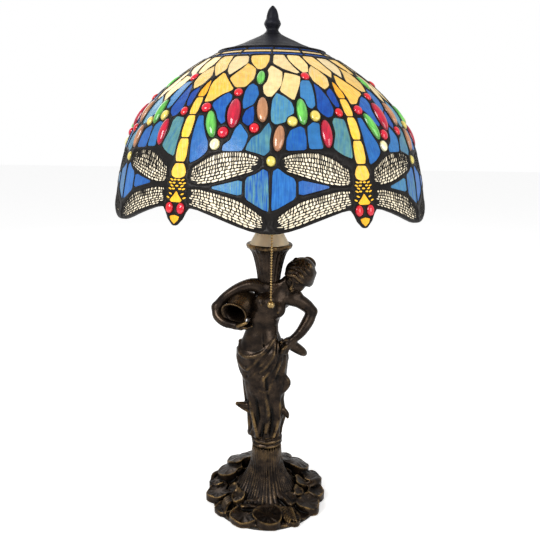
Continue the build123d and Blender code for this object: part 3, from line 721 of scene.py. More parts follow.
# %% Slabs
def slab(faces, outer, inner, open_seams=False):
    """Closed slab from triangles of the sixth; outer and inner give each point's lift off the dome."""
    used = sorted({v for face in faces for v in face})
    where = {v: k for k, v in enumerate(used)}
    places = cut_places[used]
    up = on_dome(places, outer[used])
    down = on_dome(places, inner[used])
    count = len(used)
    edge_count = {}
    solid = []
    for face in faces:
        a = [where[v] for v in face]
        solid.append(tuple(a))
        solid.append(tuple(k + count for k in reversed(a)))
        for k in range(len(a)):
            edge = (a[k], a[(k + 1) % len(a)])
            edge_count[edge] = edge_count.get(edge, 0) + 1
    for (a, b) in edge_count:
        if (b, a) in edge_count:
            continue
        if open_seams and on_seam(places[a]) and on_seam(places[b]):
            continue
        solid.append((b, a, a + count, b + count))
    radius = np.interp(places[:, 1], dome_run, dome_line[:, 0])
    across = places[:, 0] * np.radians(sixth / units) * radius
    grain = np.stack([across, places[:, 1]], axis=1) / 10
    return np.vstack([up, down]), solid, np.vstack([grain, grain])


seam_sides = [np.array(seam_left), np.array(seam)]


def on_seam(place):
    """True if a place lies on the line where two sixths meet."""
    for side in seam_sides:
        u = np.interp(place[1], side[:, 1], side[:, 0])
        if abs(place[0] - u) < 0.02 and side[0, 1] - 0.01 <= place[1] <= side[-1, 1] + 0.01:
            return True
    return False


def bead_height(places):
    """How far the solder stands above the glass: rounded near an edge, a little uneven where it is wide."""
    flat_places = flat(places)
    heights = np.empty(len(places))
    for k, (x, y) in enumerate(flat_places):
        gap = min(edge_tree.find((x + shift, y, 0))[2]
                  for shift in (0, -units * unit_width, units * unit_width))
        share = min(gap / bead_reach, 1.0)
        rounded = math.sqrt(1 - (1 - share) ** 2)
        ripple = 0.10 * math.sin(x * 1.7 + 1.3 * math.sin(y * 0.9)) * math.sin(y * 1.3) * share
        heights[k] = 0.25 + 0.75 * rounded + ripple
    return heights


everywhere = np.zeros(len(cut_places))
web_height = bead_height(cut_places)
sheet_thick = 3.2


web = Sheet()
points, faces, grain = slab(web_faces, web_height, -sheet_thick - 0.6 * web_height, open_seams=True)
web.add(points, faces, grain=grain)
plate = Sheet()
points, faces, grain = slab(plate_faces, everywhere + 0.55, everywhere - 0.1)
plate.add(points, faces, grain=grain)
wing_glass = Sheet()
dice = np.random.default_rng(5)
tinted = {"wing": [f for f, wing in cell_faces if wing] + plate_faces,
          "thorax": [f for f, wing in cell_faces if not wing]}
for part, part_faces in tinted.items():
    lift = -0.15 if part == "wing" else 0.1
    colours = (wing_cream, pearl) if part == "wing" else (amber, honey)
    points, faces, grain = slab(part_faces, everywhere + lift, everywhere - sheet_thick + 0.3)
    wing_glass.add(points, faces, colours[0], colours[1], grain)
glass = Sheet()
for index, part_faces in glass_faces.items():
    shift = dice.uniform(0, 20, 2)
    if kinds[index] == "pane":
        tint, streak = panes[index - 1][1:]
        shade_of = dice.uniform(0.93, 1.04)
        tint = tuple(min(255, part * shade_of) for part in tint)
    else:
        tint = streak = jewels[index - 1 - len(panes)][5]
    points, faces, grain = slab(part_faces, everywhere + 0.1, everywhere - sheet_thick + 0.4)
    glass.add(points, faces, tint, streak, grain + shift)


# %% Jewels
jewel_steps = 24
# faces of the jewel's two rim rings, which are coloured darker as painted shade
jewel_painted_shade_faces = 2 * jewel_steps


def jewel_shell(u, run, half_width, half_length, turn):
    """A pressed jewel: a low dome over its ring, closed underneath. Its first two rings are the edge."""
    steps, levels = jewel_steps, 6
    rings = []
    for level in range(levels):
        share = math.cos(level / levels * math.pi / 2)
        height = 0.1 + 0.62 * min(half_width, half_length) * math.sin(level / levels * math.pi / 2)
        ring = jewel_ring(u, run, half_width * share, half_length * share, turn, steps)
        rings.append(on_dome(ring, height))
    top = on_dome([(u, run)], 0.1 + 0.62 * min(half_width, half_length))
    under = on_dome(jewel_ring(u, run, half_width, half_length, turn, steps), -0.6)
    points = np.vstack(rings + [top, under])
    faces = []
    for level in range(levels - 1):
        for k in range(steps):
            after = (k + 1) % steps
            a, b = level * steps, (level + 1) * steps
            faces.append((a + k, a + after, b + after, b + k))
    last, peak, low = (levels - 1) * steps, levels * steps, levels * steps + 1
    faces += [(last + k, last + (k + 1) % steps, peak) for k in range(steps)]
    faces += [(low + k, low + (k + 1) % steps, (k + 1) % steps, k) for k in range(steps)]
    faces.append(tuple(low + k for k in reversed(range(steps))))
    return points, faces


gems = Sheet()
for u, run, half_width, half_length, turn, tint, streak in jewels:
    points, faces = jewel_shell(u, run, half_width, half_length, turn)
    across = (points[:, 0] - points[:, 0].mean()) / 10
    along = (points[:, 2] - points[:, 2].mean()) / 10
    grain = np.stack([across + u, along + run / 10], axis=1)
    # the rim rings get a darker copy of the jewel's tint: painted shade where the dome turns down to the
    # glass
    edge = tuple(0.68 * part for part in tint)
    gems.add(points, faces[:jewel_painted_shade_faces], edge, streak, grain)
    gems.add(points, faces[jewel_painted_shade_faces:], tint, streak, grain)
print("jewels in one sixth:", len(jewels))

# %% [markdown]
# ## Turned round the shade
# The sixth is made once. A Geometry Nodes tree copies it round the lamp's axis and joins the seams, the way
# the maker takes the same section of the mould six times.

# %% Geometry Nodes: copies turned round the axis
def turn_tree():
    """Tree with inputs Geometry, Copies and Material: instances turned about Z, realised and merged."""
    group = bpy.data.node_groups.new("turned_copies", "GeometryNodeTree")
    face = group.interface
    face.new_socket("Geometry", in_out="INPUT", socket_type="NodeSocketGeometry")
    copies = face.new_socket("Copies", in_out="INPUT", socket_type="NodeSocketInt")
    material = face.new_socket("Material", in_out="INPUT", socket_type="NodeSocketMaterial")
    face.new_socket("Geometry", in_out="OUTPUT", socket_type="NodeSocketGeometry")
    enter = group.nodes.new("NodeGroupInput")
    leave = group.nodes.new("NodeGroupOutput")
    instance = group.nodes.new("GeometryNodeGeometryToInstance")
    duplicate = add(group, "GeometryNodeDuplicateElements", domain="INSTANCE")
    angle = add(group, "ShaderNodeMath", {0: 2 * math.pi}, operation="DIVIDE")
    turned = add(group, "ShaderNodeMath", operation="MULTIPLY")
    spin = group.nodes.new("ShaderNodeCombineXYZ")
    rotate = group.nodes.new("GeometryNodeRotateInstances")
    realise = group.nodes.new("GeometryNodeRealizeInstances")
    merge = add(group, "GeometryNodeMergeByDistance", {"Distance": 0.00002})
    finish = group.nodes.new("GeometryNodeSetMaterial")
    hook(group, (enter, "Geometry", instance, 0), (instance, 0, duplicate, "Geometry"),
                (enter, "Copies", duplicate, "Amount"), (enter, "Copies", angle, 1),
                (duplicate, "Duplicate Index", turned, 0), (angle, 0, turned, 1), (turned, 0, spin, "Z"),
                (duplicate, "Geometry", rotate, "Instances"), (spin, 0, rotate, "Rotation"),
                (rotate, 0, realise, 0), (realise, 0, merge, "Geometry"), (merge, 0, finish, "Geometry"),
                (enter, "Material", finish, "Material"), (finish, 0, leave, 0))
    return group, copies.identifier, material.identifier


turned_copies, copies_socket, turned_material_socket = turn_tree()


def evaluated_copy(carrier, name):
    """The carrier's mesh with its modifiers worked in, as a plain mesh; the carrier is deleted."""
    bpy.context.view_layer.update()
    graph = bpy.context.evaluated_depsgraph_get()
    mesh = bpy.data.meshes.new_from_object(carrier.evaluated_get(graph))
    mesh.name = name
    old = carrier.data
    bpy.data.objects.remove(carrier)
    bpy.data.meshes.remove(old)
    return mesh


def turned(name, mesh, copies, material):
    """Plain mesh of one section copied round the lamp's axis."""
    carrier = bpy.data.objects.new(name + "_section", mesh)
    scene.collection.objects.link(carrier)
    modifier = carrier.modifiers.new("turn", "NODES")
    modifier.node_group = turned_copies
    modifier[copies_socket] = copies
    modifier[turned_material_socket] = material
    return evaluated_copy(carrier, name)


# %% [markdown]
# ## Glass and solder finishes
# The glass is opalescent: two colours drawn out in long streaks, glossy, and lit from behind by the bulbs.
# The glow is a plain even emission of the glass's own colour, because the milky glass spreads the light.
# The streaks are a node group that all the glass shares. It reads the pattern place stored on each pane.

# %% Streak group
def streak_group():
    """Node group: streaks drawn out along the run. Outputs a mask and a height for bumps."""
    group, enter, leave = mask_group("streaks", {"Across": 3.0, "Along": 0.35, "Contrast": 1.0})
    place = add(group, "ShaderNodeUVMap", uv_map="grain")
    scale = group.nodes.new("ShaderNodeCombineXYZ")
    stretch = add(group, "ShaderNodeVectorMath", operation="MULTIPLY")
    noise = add(group, "ShaderNodeTexNoise",
                {"Scale": 1.0, "Detail": 3.0, "Roughness": 0.55, "Distortion": 0.35})
    sharpen = add(group, "ShaderNodeMapRange", {"From Min": 0.38, "From Max": 0.68})
    strength = add(group, "ShaderNodeMath", operation="MULTIPLY")
    cloud = add(group, "ShaderNodeTexNoise", {"Scale": 1.4, "Detail": 2.0})
    hook(group, (enter, "Across", scale, "X"), (enter, "Along", scale, "Y"), (place, 0, stretch, 0),
                (scale, 0, stretch, 1), (stretch, 0, noise, "Vector"), (noise, "Fac", sharpen, "Value"),
                (sharpen, 0, strength, 0), (enter, "Contrast", strength, 1), (place, 0, cloud, "Vector"),
                (strength, 0, leave, "Mask"), (cloud, "Fac", leave, "Height"))
    return group


streaks = streak_group()


def glass_material(name, across, along, contrast, glow, roughness, coat, bump, gloss=0.3):
    """Opalescent glass with two colours from the mesh."""
    material, tree, shader = new_material(name)
    tint = add(tree, "ShaderNodeVertexColor", layer_name="tint")
    streak = add(tree, "ShaderNodeVertexColor", layer_name="streak")
    group = add(tree, "ShaderNodeGroup", {"Across": across, "Along": along, "Contrast": contrast},
                node_tree=streaks)
    colour = mix_colour(tree, group.outputs["Mask"], tint.outputs["Color"], streak.outputs["Color"])
    value = add(tree, "ShaderNodeMapRange",
                {"From Min": 0.3, "From Max": 0.7, "To Min": 0.82, "To Max": 1.06})
    hook(tree, (group, "Height", value, "Value"))
    shaded = add(tree, "ShaderNodeVectorMath", operation="SCALE")
    tree.links.new(colour, shaded.inputs[0])
    hook(tree, (value, 0, shaded, "Scale"), (shaded, 0, shader, "Base Color"),
               (shaded, 0, shader, "Emission Color"))
    fill(shader, {"Emission Strength": glow, "Roughness": roughness, "Coat Weight": coat,
                  "Coat Roughness": 0.08, "Specular IOR Level": gloss})
    bumped(tree, shader, group, bump, 0.001)
    return material


opal_glass = glass_material("opal_glass", 6.0, 0.45, 0.8, 0.42, 0.3, 0.08, 0.35)
wing_opal = glass_material("wing_opal", 5.0, 3.0, 0.6, 0.62, 0.35, 0.0, 0.2)
jewel_glass = glass_material("jewel_glass", 4.0, 0.6, 0.8, 0.32, 0.08, 0.8, 0.25, 0.5)

# %% [markdown]
# ## Metal finishes
# Solder and filigree are coppered lead, patinated nearly black, and the cap and finial are nearly as dark.
# The castings are a dark bronze patina that hands have rubbed through to brass on the high spots. The chain
# and its ball are aged brass. One group gives them all their tarnish: a cloudy mask with fine specks.

# %% Tarnish group and metals
def tarnish_group():
    """Node group: cloudy tarnish mask and a fine cast grain, read from object places."""
    group, enter, leave = mask_group("tarnish", {"Size": 60.0, "Grain": 900.0})
    place = group.nodes.new("ShaderNodeTexCoord")
    cloud = add(group, "ShaderNodeTexNoise", {"Detail": 6.0, "Roughness": 0.6})
    speck = add(group, "ShaderNodeTexNoise", {"Detail": 2.0, "Roughness": 0.7})
    sharpen = add(group, "ShaderNodeMapRange", {"From Min": 0.35, "From Max": 0.68})
    hook(group, (place, "Object", cloud, "Vector"), (place, "Object", speck, "Vector"),
                (enter, "Size", cloud, "Scale"), (enter, "Grain", speck, "Scale"),
                (cloud, "Fac", sharpen, "Value"), (sharpen, 0, leave, "Mask"),
                (speck, "Fac", leave, "Height"))
    return group


tarnish = tarnish_group()


def metal_material(name, dark, light, rubbed, roughness, size=60.0, grain=900.0, bump=0.25, metallic=0.85,
                   gloss=0.5):
    """Tarnished metal: dark and light patina, and the bare metal where the mesh says it is rubbed."""
    material, tree, shader = new_material(name)
    group = add(tree, "ShaderNodeGroup", {"Size": size, "Grain": grain}, node_tree=tarnish)
    patina = mix_colour(tree, group.outputs["Mask"], rgb(*dark), rgb(*light))
    worn = add(tree, "ShaderNodeAttribute", attribute_name="wear", attribute_type="GEOMETRY")
    uneven = add(tree, "ShaderNodeMath", operation="MULTIPLY", use_clamp=True)
    fade = add(tree, "ShaderNodeMapRange", {"To Min": -0.15, "To Max": 0.78})
    hook(tree, (group, "Mask", fade, "Value"), (worn, "Fac", uneven, 0), (fade, 0, uneven, 1))
    hollow = add(tree, "ShaderNodeAttribute", attribute_name="soot", attribute_type="GEOMETRY")
    sooty = mix_colour(tree, hollow.outputs["Fac"], patina, rgb(*[part * 0.35 for part in dark]))
    colour = mix_colour(tree, uneven.outputs[0], sooty, rgb(*rubbed))
    tree.links.new(colour, shader.inputs["Base Color"])
    fill(shader, {"Metallic": metallic, "Specular IOR Level": gloss})
    dull = add(tree, "ShaderNodeMapRange", {"To Min": roughness + 0.08, "To Max": roughness - 0.08})
    hook(tree, (group, "Mask", dull, "Value"), (dull, 0, shader, "Roughness"))
    bumped(tree, shader, group, bump, 0.0004)
    return material


solder = metal_material("dark_solder", (10, 7, 6), (24, 18, 15), (90, 74, 56), 0.45, 90.0, 700.0, 0.2, 0.2,
                        0.3)
filigree_metal = metal_material("filigree_metal", (9, 6, 5), (20, 15, 12), (80, 62, 40), 0.5, 120.0, 900.0,
                                0.3, 0.2, 0.3)
bronze = metal_material("rubbed_bronze", (26, 19, 15), (66, 53, 42), (172, 138, 84), 0.29, 75.0, 700.0,
                        0.25, 0.8)
dark_bronze = metal_material("dark_bronze", (9, 9, 15), (24, 25, 38), (62, 66, 92), 0.5, 70.0, 700.0, 0.3,
                             0.3, 0.3)
brass = metal_material("aged_brass", (150, 122, 78), (212, 184, 128), (238, 214, 160), 0.26, 120.0, 900.0,
                       0.1, 1.0)
plain_brass = metal_material("lacquered_brass", (150, 116, 60), (196, 158, 92), (230, 196, 120), 0.28, 40.0,
                             900.0, 0.1, 1.0)
steel = metal_material("zinc_steel", (120, 120, 122), (168, 168, 170), (200, 200, 200), 0.4, 60.0, 900.0,
                       0.2, 1.0)
iron = metal_material("cast_iron", (30, 30, 31), (52, 50, 49), (90, 88, 86), 0.65, 50.0, 400.0, 0.6, 0.6)

# %% The shade's soldered parts become objects
shade_pieces = [
    ("shade_solder", web, solder, "lead", ("rim_came",), True),
    ("shade_filigree", plate, filigree_metal, "lead", (), False),
    ("shade_wing_glass", wing_glass, wing_opal, "art_glass", (), False),
    ("shade_panes", glass, opal_glass, "art_glass", ("shade_glass",), False),
    ("shade_jewels", gems, jewel_glass, "art_glass", (), True),
]
for name, sheet, finish, slot_name, stands_for, smooth in shade_pieces:
    dress(name, turned(name, sheet.mesh(name), 6, finish), "shade", finish, stands_for, smooth)

# %% [markdown]
# ## Crown, cap and finial
# Above the shoulder the dome closes with three shallow rings of glass, blue, cream and blue, cut by radial
# leads. A metal cap, made further down, covers the hole in the middle.

# %% Crown of glass rings
crown_outer = (shoulder_radius - 1.2, shoulder_level)
crown_inner = (radius_of("aperture_ring"), top_of("aperture_ring"))
crown_width = math.dist(crown_outer, crown_inner)
crown_slope = np.array([crown_inner[0] - crown_outer[0], crown_inner[1] - crown_outer[1]]) / crown_width
crown_count = 14


def on_crown(azimuth, run, lift=0.0):
    """Point on the crown: degrees from the front, millimetres in from the shoulder, and lift."""
    outwards = np.array([crown_slope[1], -crown_slope[0]])
    radius, height = np.array(crown_outer) + crown_slope * run + outwards * lift
    angle = math.radians(azimuth)
    return (radius * math.sin(angle), -radius * math.cos(angle), height)


def crown_block(sheet, azimuths, runs, outer, inner, tint=(1, 1, 1), streak=(1, 1, 1), shift=0.0):
    """Closed block on the crown over a grid of azimuths and runs."""
    rows, columns = len(runs), len(azimuths)
    up = [on_crown(a, r, outer(i / (rows - 1))) for i, r in enumerate(runs) for a in azimuths]
    down = [on_crown(a, r, inner) for r in runs for a in azimuths]
    count = rows * columns
    faces = []
    for i in range(rows - 1):
        for j in range(columns - 1):
            a, d = i * columns + j, (i + 1) * columns + j
            b, c = a + 1, d + 1
            faces += [(a, b, c, d), (d + count, c + count, b + count, a + count)]
    border = [j for j in range(columns)] + [i * columns + columns - 1 for i in range(1, rows)]
    border += [(rows - 1) * columns + j for j in range(columns - 2, -1, -1)]
    border += [i * columns for i in range(rows - 2, 0, -1)]
    for k in range(len(border)):
        a, b = border[k], border[(k + 1) % len(border)]
        faces.append((b, a, a + count, b + count))
    grain = [(a * 0.13 + shift, r / 10 + shift) for r in runs for a in azimuths]
    sheet.add(up + down, faces, tint, streak, grain + grain)


crown_glass = Sheet()
crown_lead = Sheet()
pitch = 360 / crown_count
bands = [(1.3, 7.6, (30, 84, 168), (16, 56, 140)), (9.0, 15.8, (222, 196, 140), (206, 170, 112)),
         (17.2, crown_width - 1.2, (34, 70, 132), (20, 40, 90))]
for low, high, tint, streak in bands:
    start = 0.6 + (1.6 if low > 17 else 0)
    crown_block(crown_glass, np.linspace(start, start + pitch - 1.4, 7), np.linspace(low, high, 3),
                lambda share: 0.0, -2.8, tint, streak, low)
for middle in (0.5, 8.3, 16.5, crown_width - 0.5):
    crown_block(crown_lead, np.linspace(0, pitch, 9), np.linspace(middle - 1.1, middle + 1.1, 7),
                lambda share: 0.1 + 0.9 * math.sin(math.pi * share), -3.6)
for low, high, _, _ in bands:
    middle = 0.6 + (1.6 if low > 17 else 0) - 0.7
    crown_block(crown_lead, np.linspace(middle - 0.8, middle + 0.8, 3), np.linspace(low - 0.6, high + 0.6, 4),
                lambda share: 0.8, -3.4)
dress("crown_panes", turned("crown_panes", crown_glass.mesh("crown_panes"), crown_count, opal_glass), "shade",
      opal_glass, ("crown_glass",), False)
dress("crown_solder", turned("crown_solder", crown_lead.mesh("crown_solder"), crown_count, solder), "shade",
      solder, ("shoulder_ring",))

# %% [markdown]
# ## Sculpting in code
# The figure and the foot were modelled in clay and cast. Clay is easiest to imitate as a distance field: a
# block of numbers that say how far each grid point lies from the surface. Rounded limbs and eggs are blended
# into the block with a soft minimum, which leaves the same fillets as a thumb does. The surface is then
# read off the block as a mesh of quads, and its curvature is kept: where the metal bulges it is rubbed
# bright, and where it is hollow the patina stays dark.

# %% Clay
class Clay:
    """A block of distances in millimetres, negative inside, that shapes are blended into."""

    def __init__(self, low, high, cell):
        self.low = np.array(low, dtype=np.float32)
        self.cell = cell
        self.counts = np.ceil((np.array(high) - self.low) / cell).astype(int) + 1
        self.field = np.full(self.counts, 12.0, dtype=np.float32)

    def window(self, low, high):
        """Slices of the block between two corners, and the open grids of their places."""
        first = np.clip(np.floor((np.array(low) - self.low) / self.cell).astype(int), 0, self.counts)
        last = np.clip(np.ceil((np.array(high) - self.low) / self.cell).astype(int) + 1, 0, self.counts)
        slices = tuple(slice(a, b) for a, b in zip(first, last))
        lines = [self.low[i] + self.cell * np.arange(first[i], last[i], dtype=np.float32) for i in range(3)]
        return slices, np.meshgrid(*lines, indexing="ij", sparse=True)

    def blend(self, distance, low, high, soft, cut=False):
        """Adds, or cuts away, the shape that distance(x, y, z) gives, with a fillet about as wide as soft."""
        margin = soft + 4.0
        slices, (x, y, z) = self.window(np.array(low) - margin, np.array(high) + margin)
        old = self.field[slices]
        new = distance(x, y, z)
        if cut:
            share = np.clip(0.5 - 0.5 * (old + new) / soft, 0, 1)
            self.field[slices] = old * (1 - share) - new * share + soft * share * (1 - share)
        else:
            share = np.clip(0.5 + 0.5 * (old - new) / soft, 0, 1)
            self.field[slices] = old * (1 - share) + new * share - soft * share * (1 - share)

    def limb(self, points, radii, soft=2.0, cut=False):
        """A rounded, tapering limb through points, blended in as one shape."""
        points = [np.array(p, dtype=np.float32) for p in points]

        def distance(x, y, z):
            nearest = None
            for start, end, r0, r1 in zip(points, points[1:], radii, radii[1:]):
                d = end - start
                square = max(float(d @ d), 1e-6)
                share = ((x - start[0]) * d[0] + (y - start[1]) * d[1] + (z - start[2]) * d[2]) / square
                share = np.clip(share, 0, 1)
                away = (x - start[0] - share * d[0]) ** 2 + (y - start[1] - share * d[1]) ** 2
                away = np.sqrt(away + (z - start[2] - share * d[2]) ** 2) - (r0 + share * (r1 - r0))
                nearest = away if nearest is None else np.minimum(nearest, away)
            return nearest

        reach = max(radii)
        self.blend(distance, np.min(points, axis=0) - reach, np.max(points, axis=0) + reach, soft, cut)

    def curve(self, points, radii, steps=4, soft=2.0, cut=False):
        """A limb along a smooth curve through a few points."""
        line, sizes = smooth_line(points, radii, steps)
        self.limb(line, sizes, soft, cut)

    def egg(self, centre, radii, turn=None, soft=2.0, cut=False):
        """An ellipsoid, turned by a rotation matrix whose columns are its own axes."""
        centre, radii = np.array(centre, dtype=np.float32), np.array(radii, dtype=np.float32)
        turn = np.eye(3) if turn is None else np.array(turn)

        def distance(x, y, z):
            dx, dy, dz = x - centre[0], y - centre[1], z - centre[2]
            own = [dx * turn[0][i] + dy * turn[1][i] + dz * turn[2][i] for i in range(3)]
            near = np.sqrt(sum((own[i] / radii[i]) ** 2 for i in range(3)))
            steep = np.sqrt(sum((own[i] / radii[i] ** 2) ** 2 for i in range(3)))
            return near * (near - 1) / np.maximum(steep, 1e-3)

        reach = max(radii)
        self.blend(distance, centre - reach, centre + reach, soft, cut)

    def blurred(self, rounds):
        """The block averaged with its neighbours a few times."""
        field = self.field.copy()
        for _ in range(rounds):
            for axis in range(3):
                ahead = np.roll(field, 1, axis)
                behind = np.roll(field, -1, axis)
                field = (ahead + field + behind) / 3
        return field

    def mesh(self, name, wear_low=0.2, wear_full=0.5, rounds=4):
        """Quads round the zero level, with wear on the ridges and soot in the hollows."""
        field = self.field
        inside = field < 0
        corners = [(i, j, k) for i in (0, 1) for j in (0, 1) for k in (0, 1)]
        size = np.array(field.shape) - 1

        def shifted(block, i, j, k):
            return block[i:size[0] + i, j:size[1] + j, k:size[2] + k]

        count = sum(shifted(inside, *c).astype(np.int8) for c in corners)
        active = (count > 0) & (count < 8)
        cells = np.argwhere(active)
        values = np.stack([field[tuple((cells + c).T)] for c in corners], axis=1)
        total = np.zeros((len(cells), 3))
        crossings = np.zeros(len(cells))
        for a in range(8):
            for b in range(a + 1, 8):
                step = np.subtract(corners[b], corners[a])
                if abs(step).sum() != 1:
                    continue
                cross = (values[:, a] < 0) != (values[:, b] < 0)
                share = values[cross, a] / (values[cross, a] - values[cross, b])
                total[cross] += np.array(corners[a]) + share[:, None] * step
                crossings[cross] += 1
        points = (cells + total / crossings[:, None]) * self.cell + self.low
        numbers = np.full(active.shape, -1, dtype=np.int64)
        numbers[active] = np.arange(len(cells))
        quads = []
        for axis in range(3):
            one, two = [(1, 2), (2, 0), (0, 1)][axis]
            ahead = np.zeros(3, int)
            ahead[axis] = 1
            edge_shape = [slice(1, -1)] * 3
            edge_shape[axis] = slice(0, -1)
            here = inside[tuple(edge_shape)]
            next_shape = [slice(1, -1)] * 3
            next_shape[axis] = slice(1, None)
            there = inside[tuple(next_shape)]
            for leaving in (True, False):
                spots = np.argwhere(here & ~there if leaving else ~here & there)
                offset = np.ones(3, int)
                offset[axis] = 0
                spots = spots + offset
                ring = []
                for s, t in ((0, 0), (1, 0), (1, 1), (0, 1)):
                    cell = spots.copy()
                    cell[:, one] -= 1 - s
                    cell[:, two] -= 1 - t
                    ring.append(numbers[tuple(cell.T)])
                if not leaving:
                    ring = ring[::-1]
                quads.append(np.stack(ring, axis=1))
        faces = np.concatenate(quads)
        mesh = bpy.data.meshes.new(name)
        mesh.vertices.add(len(points))
        mesh.vertices.foreach_set("co", (points * MM).astype(np.float32).ravel())
        mesh.loops.add(faces.size)
        mesh.loops.foreach_set("vertex_index", faces.astype(np.int32).ravel())
        mesh.polygons.add(len(faces))
        mesh.polygons.foreach_set("loop_start", np.arange(0, faces.size, 4, dtype=np.int32))
        mesh.update(calc_edges=True)
        mesh.validate()
        soft_field = self.blurred(rounds)
        bulge = np.mean([soft_field[tuple((cells + c).T)] for c in corners], axis=0)
        bulge = bulge - np.mean(values, axis=1)
        for attribute, level in (("wear", (bulge - wear_low) / wear_full), ("soot", (-bulge - 0.02) / 0.3)):
            data = mesh.attributes.new(attribute, "FLOAT", "POINT")
            data.data.foreach_set("value", np.clip(level, 0, 1).astype(np.float32))
        return mesh


def smooth_line(points, radii, steps):
    """Points on a Catmull-Rom curve through the given ones, with the radii spread along them."""
    radii = np.interp(np.linspace(0, 1, len(points)), np.linspace(0, 1, len(radii)), radii)
    rows = np.column_stack([np.array(points, dtype=float), np.array(radii, dtype=float)])
    rows = np.vstack([2 * rows[0] - rows[1], rows, 2 * rows[-1] - rows[-2]])
    line = []
    for i in range(1, len(rows) - 2):
        p0, p1, p2, p3 = rows[i - 1:i + 3]
        for step in range(steps):
            t = step / steps
            line.append(0.5 * (2 * p1 + (p2 - p0) * t + (2 * p0 - 5 * p1 + 4 * p2 - p3) * t ** 2
                               + (3 * p1 - p0 - 3 * p2 + p3) * t ** 3))
    line.append(rows[-2])
    line = np.array(line)
    return line[:, :3], np.maximum(line[:, 3], 0.2)

# %% [markdown]
# ## The figure
# A draped woman stands on the collar and carries the cup on her shoulder. Her right arm curves round a water
# jug, her left hand rests on her hip and gathers the cloth. She is built up as a sculptor would: a trunk
# of cross sections, then breast, limbs and neck, then the cloth with its folds laid over her hips.

# %% Trunk sections and helpers
figure_foot = top_of("collar_ring")
# height above the collar, middle x, middle y, half width, half depth
trunk_sections = np.array([
    (-4, -4, 1, 22, 19), (6, -3, 0, 23, 19), (30, -1, -1, 27, 21), (59, -4, -2, 28, 22), (88, -5, -2, 31, 23),
    (108, -7, -2, 34.5, 24), (123, -8, -2, 36.5, 24.5), (136, -8.5, -2, 34, 23), (148, -9, -3, 28, 20),
    (160, -9, -4, 23.5, 17), (170, -8.5, -4, 22.5, 16), (184, -6, -5.5, 23.5, 17.5),
    (198, -1, -5.5, 25, 17.5),
    (212, 6, -4, 25, 15.5), (222, 9, -2, 20, 12.5), (230, 10, -1, 11, 9),
])


def trunk_at(height):
    """Middle x, middle y, half width and half depth of the trunk at a height above the table."""
    level = np.clip(height - figure_foot, trunk_sections[0, 0], trunk_sections[-1, 0])
    return [np.interp(level, trunk_sections[:, 0], trunk_sections[:, i]) for i in range(1, 5)]


def on_trunk(azimuth, height, out=0.0):
    """A point on the trunk: degrees from the front towards her left side, height, and how far out."""
    x, y, half_width, half_depth = trunk_at(height)
    angle = math.radians(azimuth)
    return (x + (half_width + out) * math.sin(angle), y - (half_depth + out) * math.cos(angle), height)


def rounded_tube(clay, section, low, high, soft, folds=None):
    """Blends in a stack of ovals whose middle and half axes section(z) gives, with optional folds."""
    def distance(x, y, z):
        mid_x, mid_y, wide, deep = section(z)
        across, out = (x - mid_x) / wide, (y - mid_y) / deep
        near = np.sqrt(across ** 2 + out ** 2)
        away = (near - 1) * np.minimum(wide, deep)
        if folds is not None:
            away = away - folds(np.arctan2(across, -out), z) * np.clip(near, 0.3, 1.2)
        return np.maximum(away * 0.92, np.maximum(low - z, z - high))
    clay.blend(distance, (-60, -45, low), (60, 45, high), soft)


# %% Body
body_clay = Clay((-90, -44, figure_foot - 2), (74, 36, figure_foot + 246), 1.05)
rounded_tube(body_clay, trunk_at, figure_foot + 100, figure_foot + 231, 2.0)
# the spine's furrow, shoulder blades and seat
body_clay.curve([(-9, 19, 258), (-7, 16, 280), (0, 15, 305), (8, 13, 325)], [2.2, 2.4, 2.2, 1.0], soft=3,
                cut=True)
body_clay.egg((-10, 4, 318), (10, 9, 13), soft=6)
body_clay.egg((22, 5, 311), (10, 8, 13), soft=6)
body_clay.egg((-21, 14, 234), (14, 12, 15), soft=6)
body_clay.egg((7, 14, 233), (14, 12, 15), soft=6)
# breast, ribs, belly
body_clay.egg((-8.5, -17, 312.5), (11, 9.8, 11), soft=7)
body_clay.egg((12.5, -16.5, 302), (10.5, 9.8, 10.5), soft=7)
body_clay.limb([(-9.5, -24.5, 312), (-9.7, -26.9, 311.6)], [2.6, 1.2], soft=2.5)
body_clay.limb([(13, -24, 301), (13.2, -26.4, 300.6)], [2.6, 1.2], soft=2.5)
body_clay.egg((-8, -12, 254), (19, 10.5, 17), soft=7)
body_clay.egg((-6, -23.5, 252), (1.1, 1.9, 1.7), soft=2.2, cut=True)
body_clay.curve([(-7, -24, 284), (-7, -24, 268), (-6.5, -25, 258)], [1.2, 1.6, 1.0], soft=3, cut=True)
# neck, bent to her left, and the muscle down to each shoulder
body_clay.curve([(9, -4, 322), (17, -5, 332), (26, -6, 341)], [10.5, 8.4, 8.2], soft=5)
body_clay.limb([(22, -3, 334), (40, -3, 320)], [5.0, 7.0], soft=6)
body_clay.limb([(12, -2, 333), (-12, -2, 334)], [6.0, 8.0], soft=6)

# %% Arms and hands
def hand(clay, wrist, palm, fingers, thumb, finger_radius=2.3):
    """A hand: a flat palm, four fingers and a thumb, each finger a short curve."""
    clay.limb([wrist, palm], [5.4, 5.6], soft=2.5)
    for line in fingers:
        clay.curve(line, [finger_radius + 0.3] + [finger_radius] * (len(line) - 2) + [finger_radius - 0.5],
                   steps=3, soft=0.8)
    clay.curve(thumb, [3.0] + [2.4] * (len(thumb) - 1), steps=3, soft=1.0)


# her right arm, over and round the jug
body_clay.curve([(-9, -3, 331), (-24, -3, 334), (-42, -2, 328), (-60, -1, 315), (-73, 0, 300)],
                [11.0, 9.2, 8.0, 7.6, 7.4], soft=4)
body_clay.curve([(-73, 0, 300), (-71, -6, 289), (-60, -14, 281.5), (-46, -18, 279)], [7.4, 7.4, 6.4, 5.2],
                soft=3)
hand(body_clay, (-46, -18, 279), (-38, -21, 278.5),
     [[(-36 + i, -24 + 3.8 * i, 278 + 0.6 * i), (-29, -23 + 3.6 * i, 277),
       (-23, -20 + 3.2 * i, 279)] for i in range(4)],
     [(-42, -25, 280), (-36, -29, 284), (-30, -30, 287)])
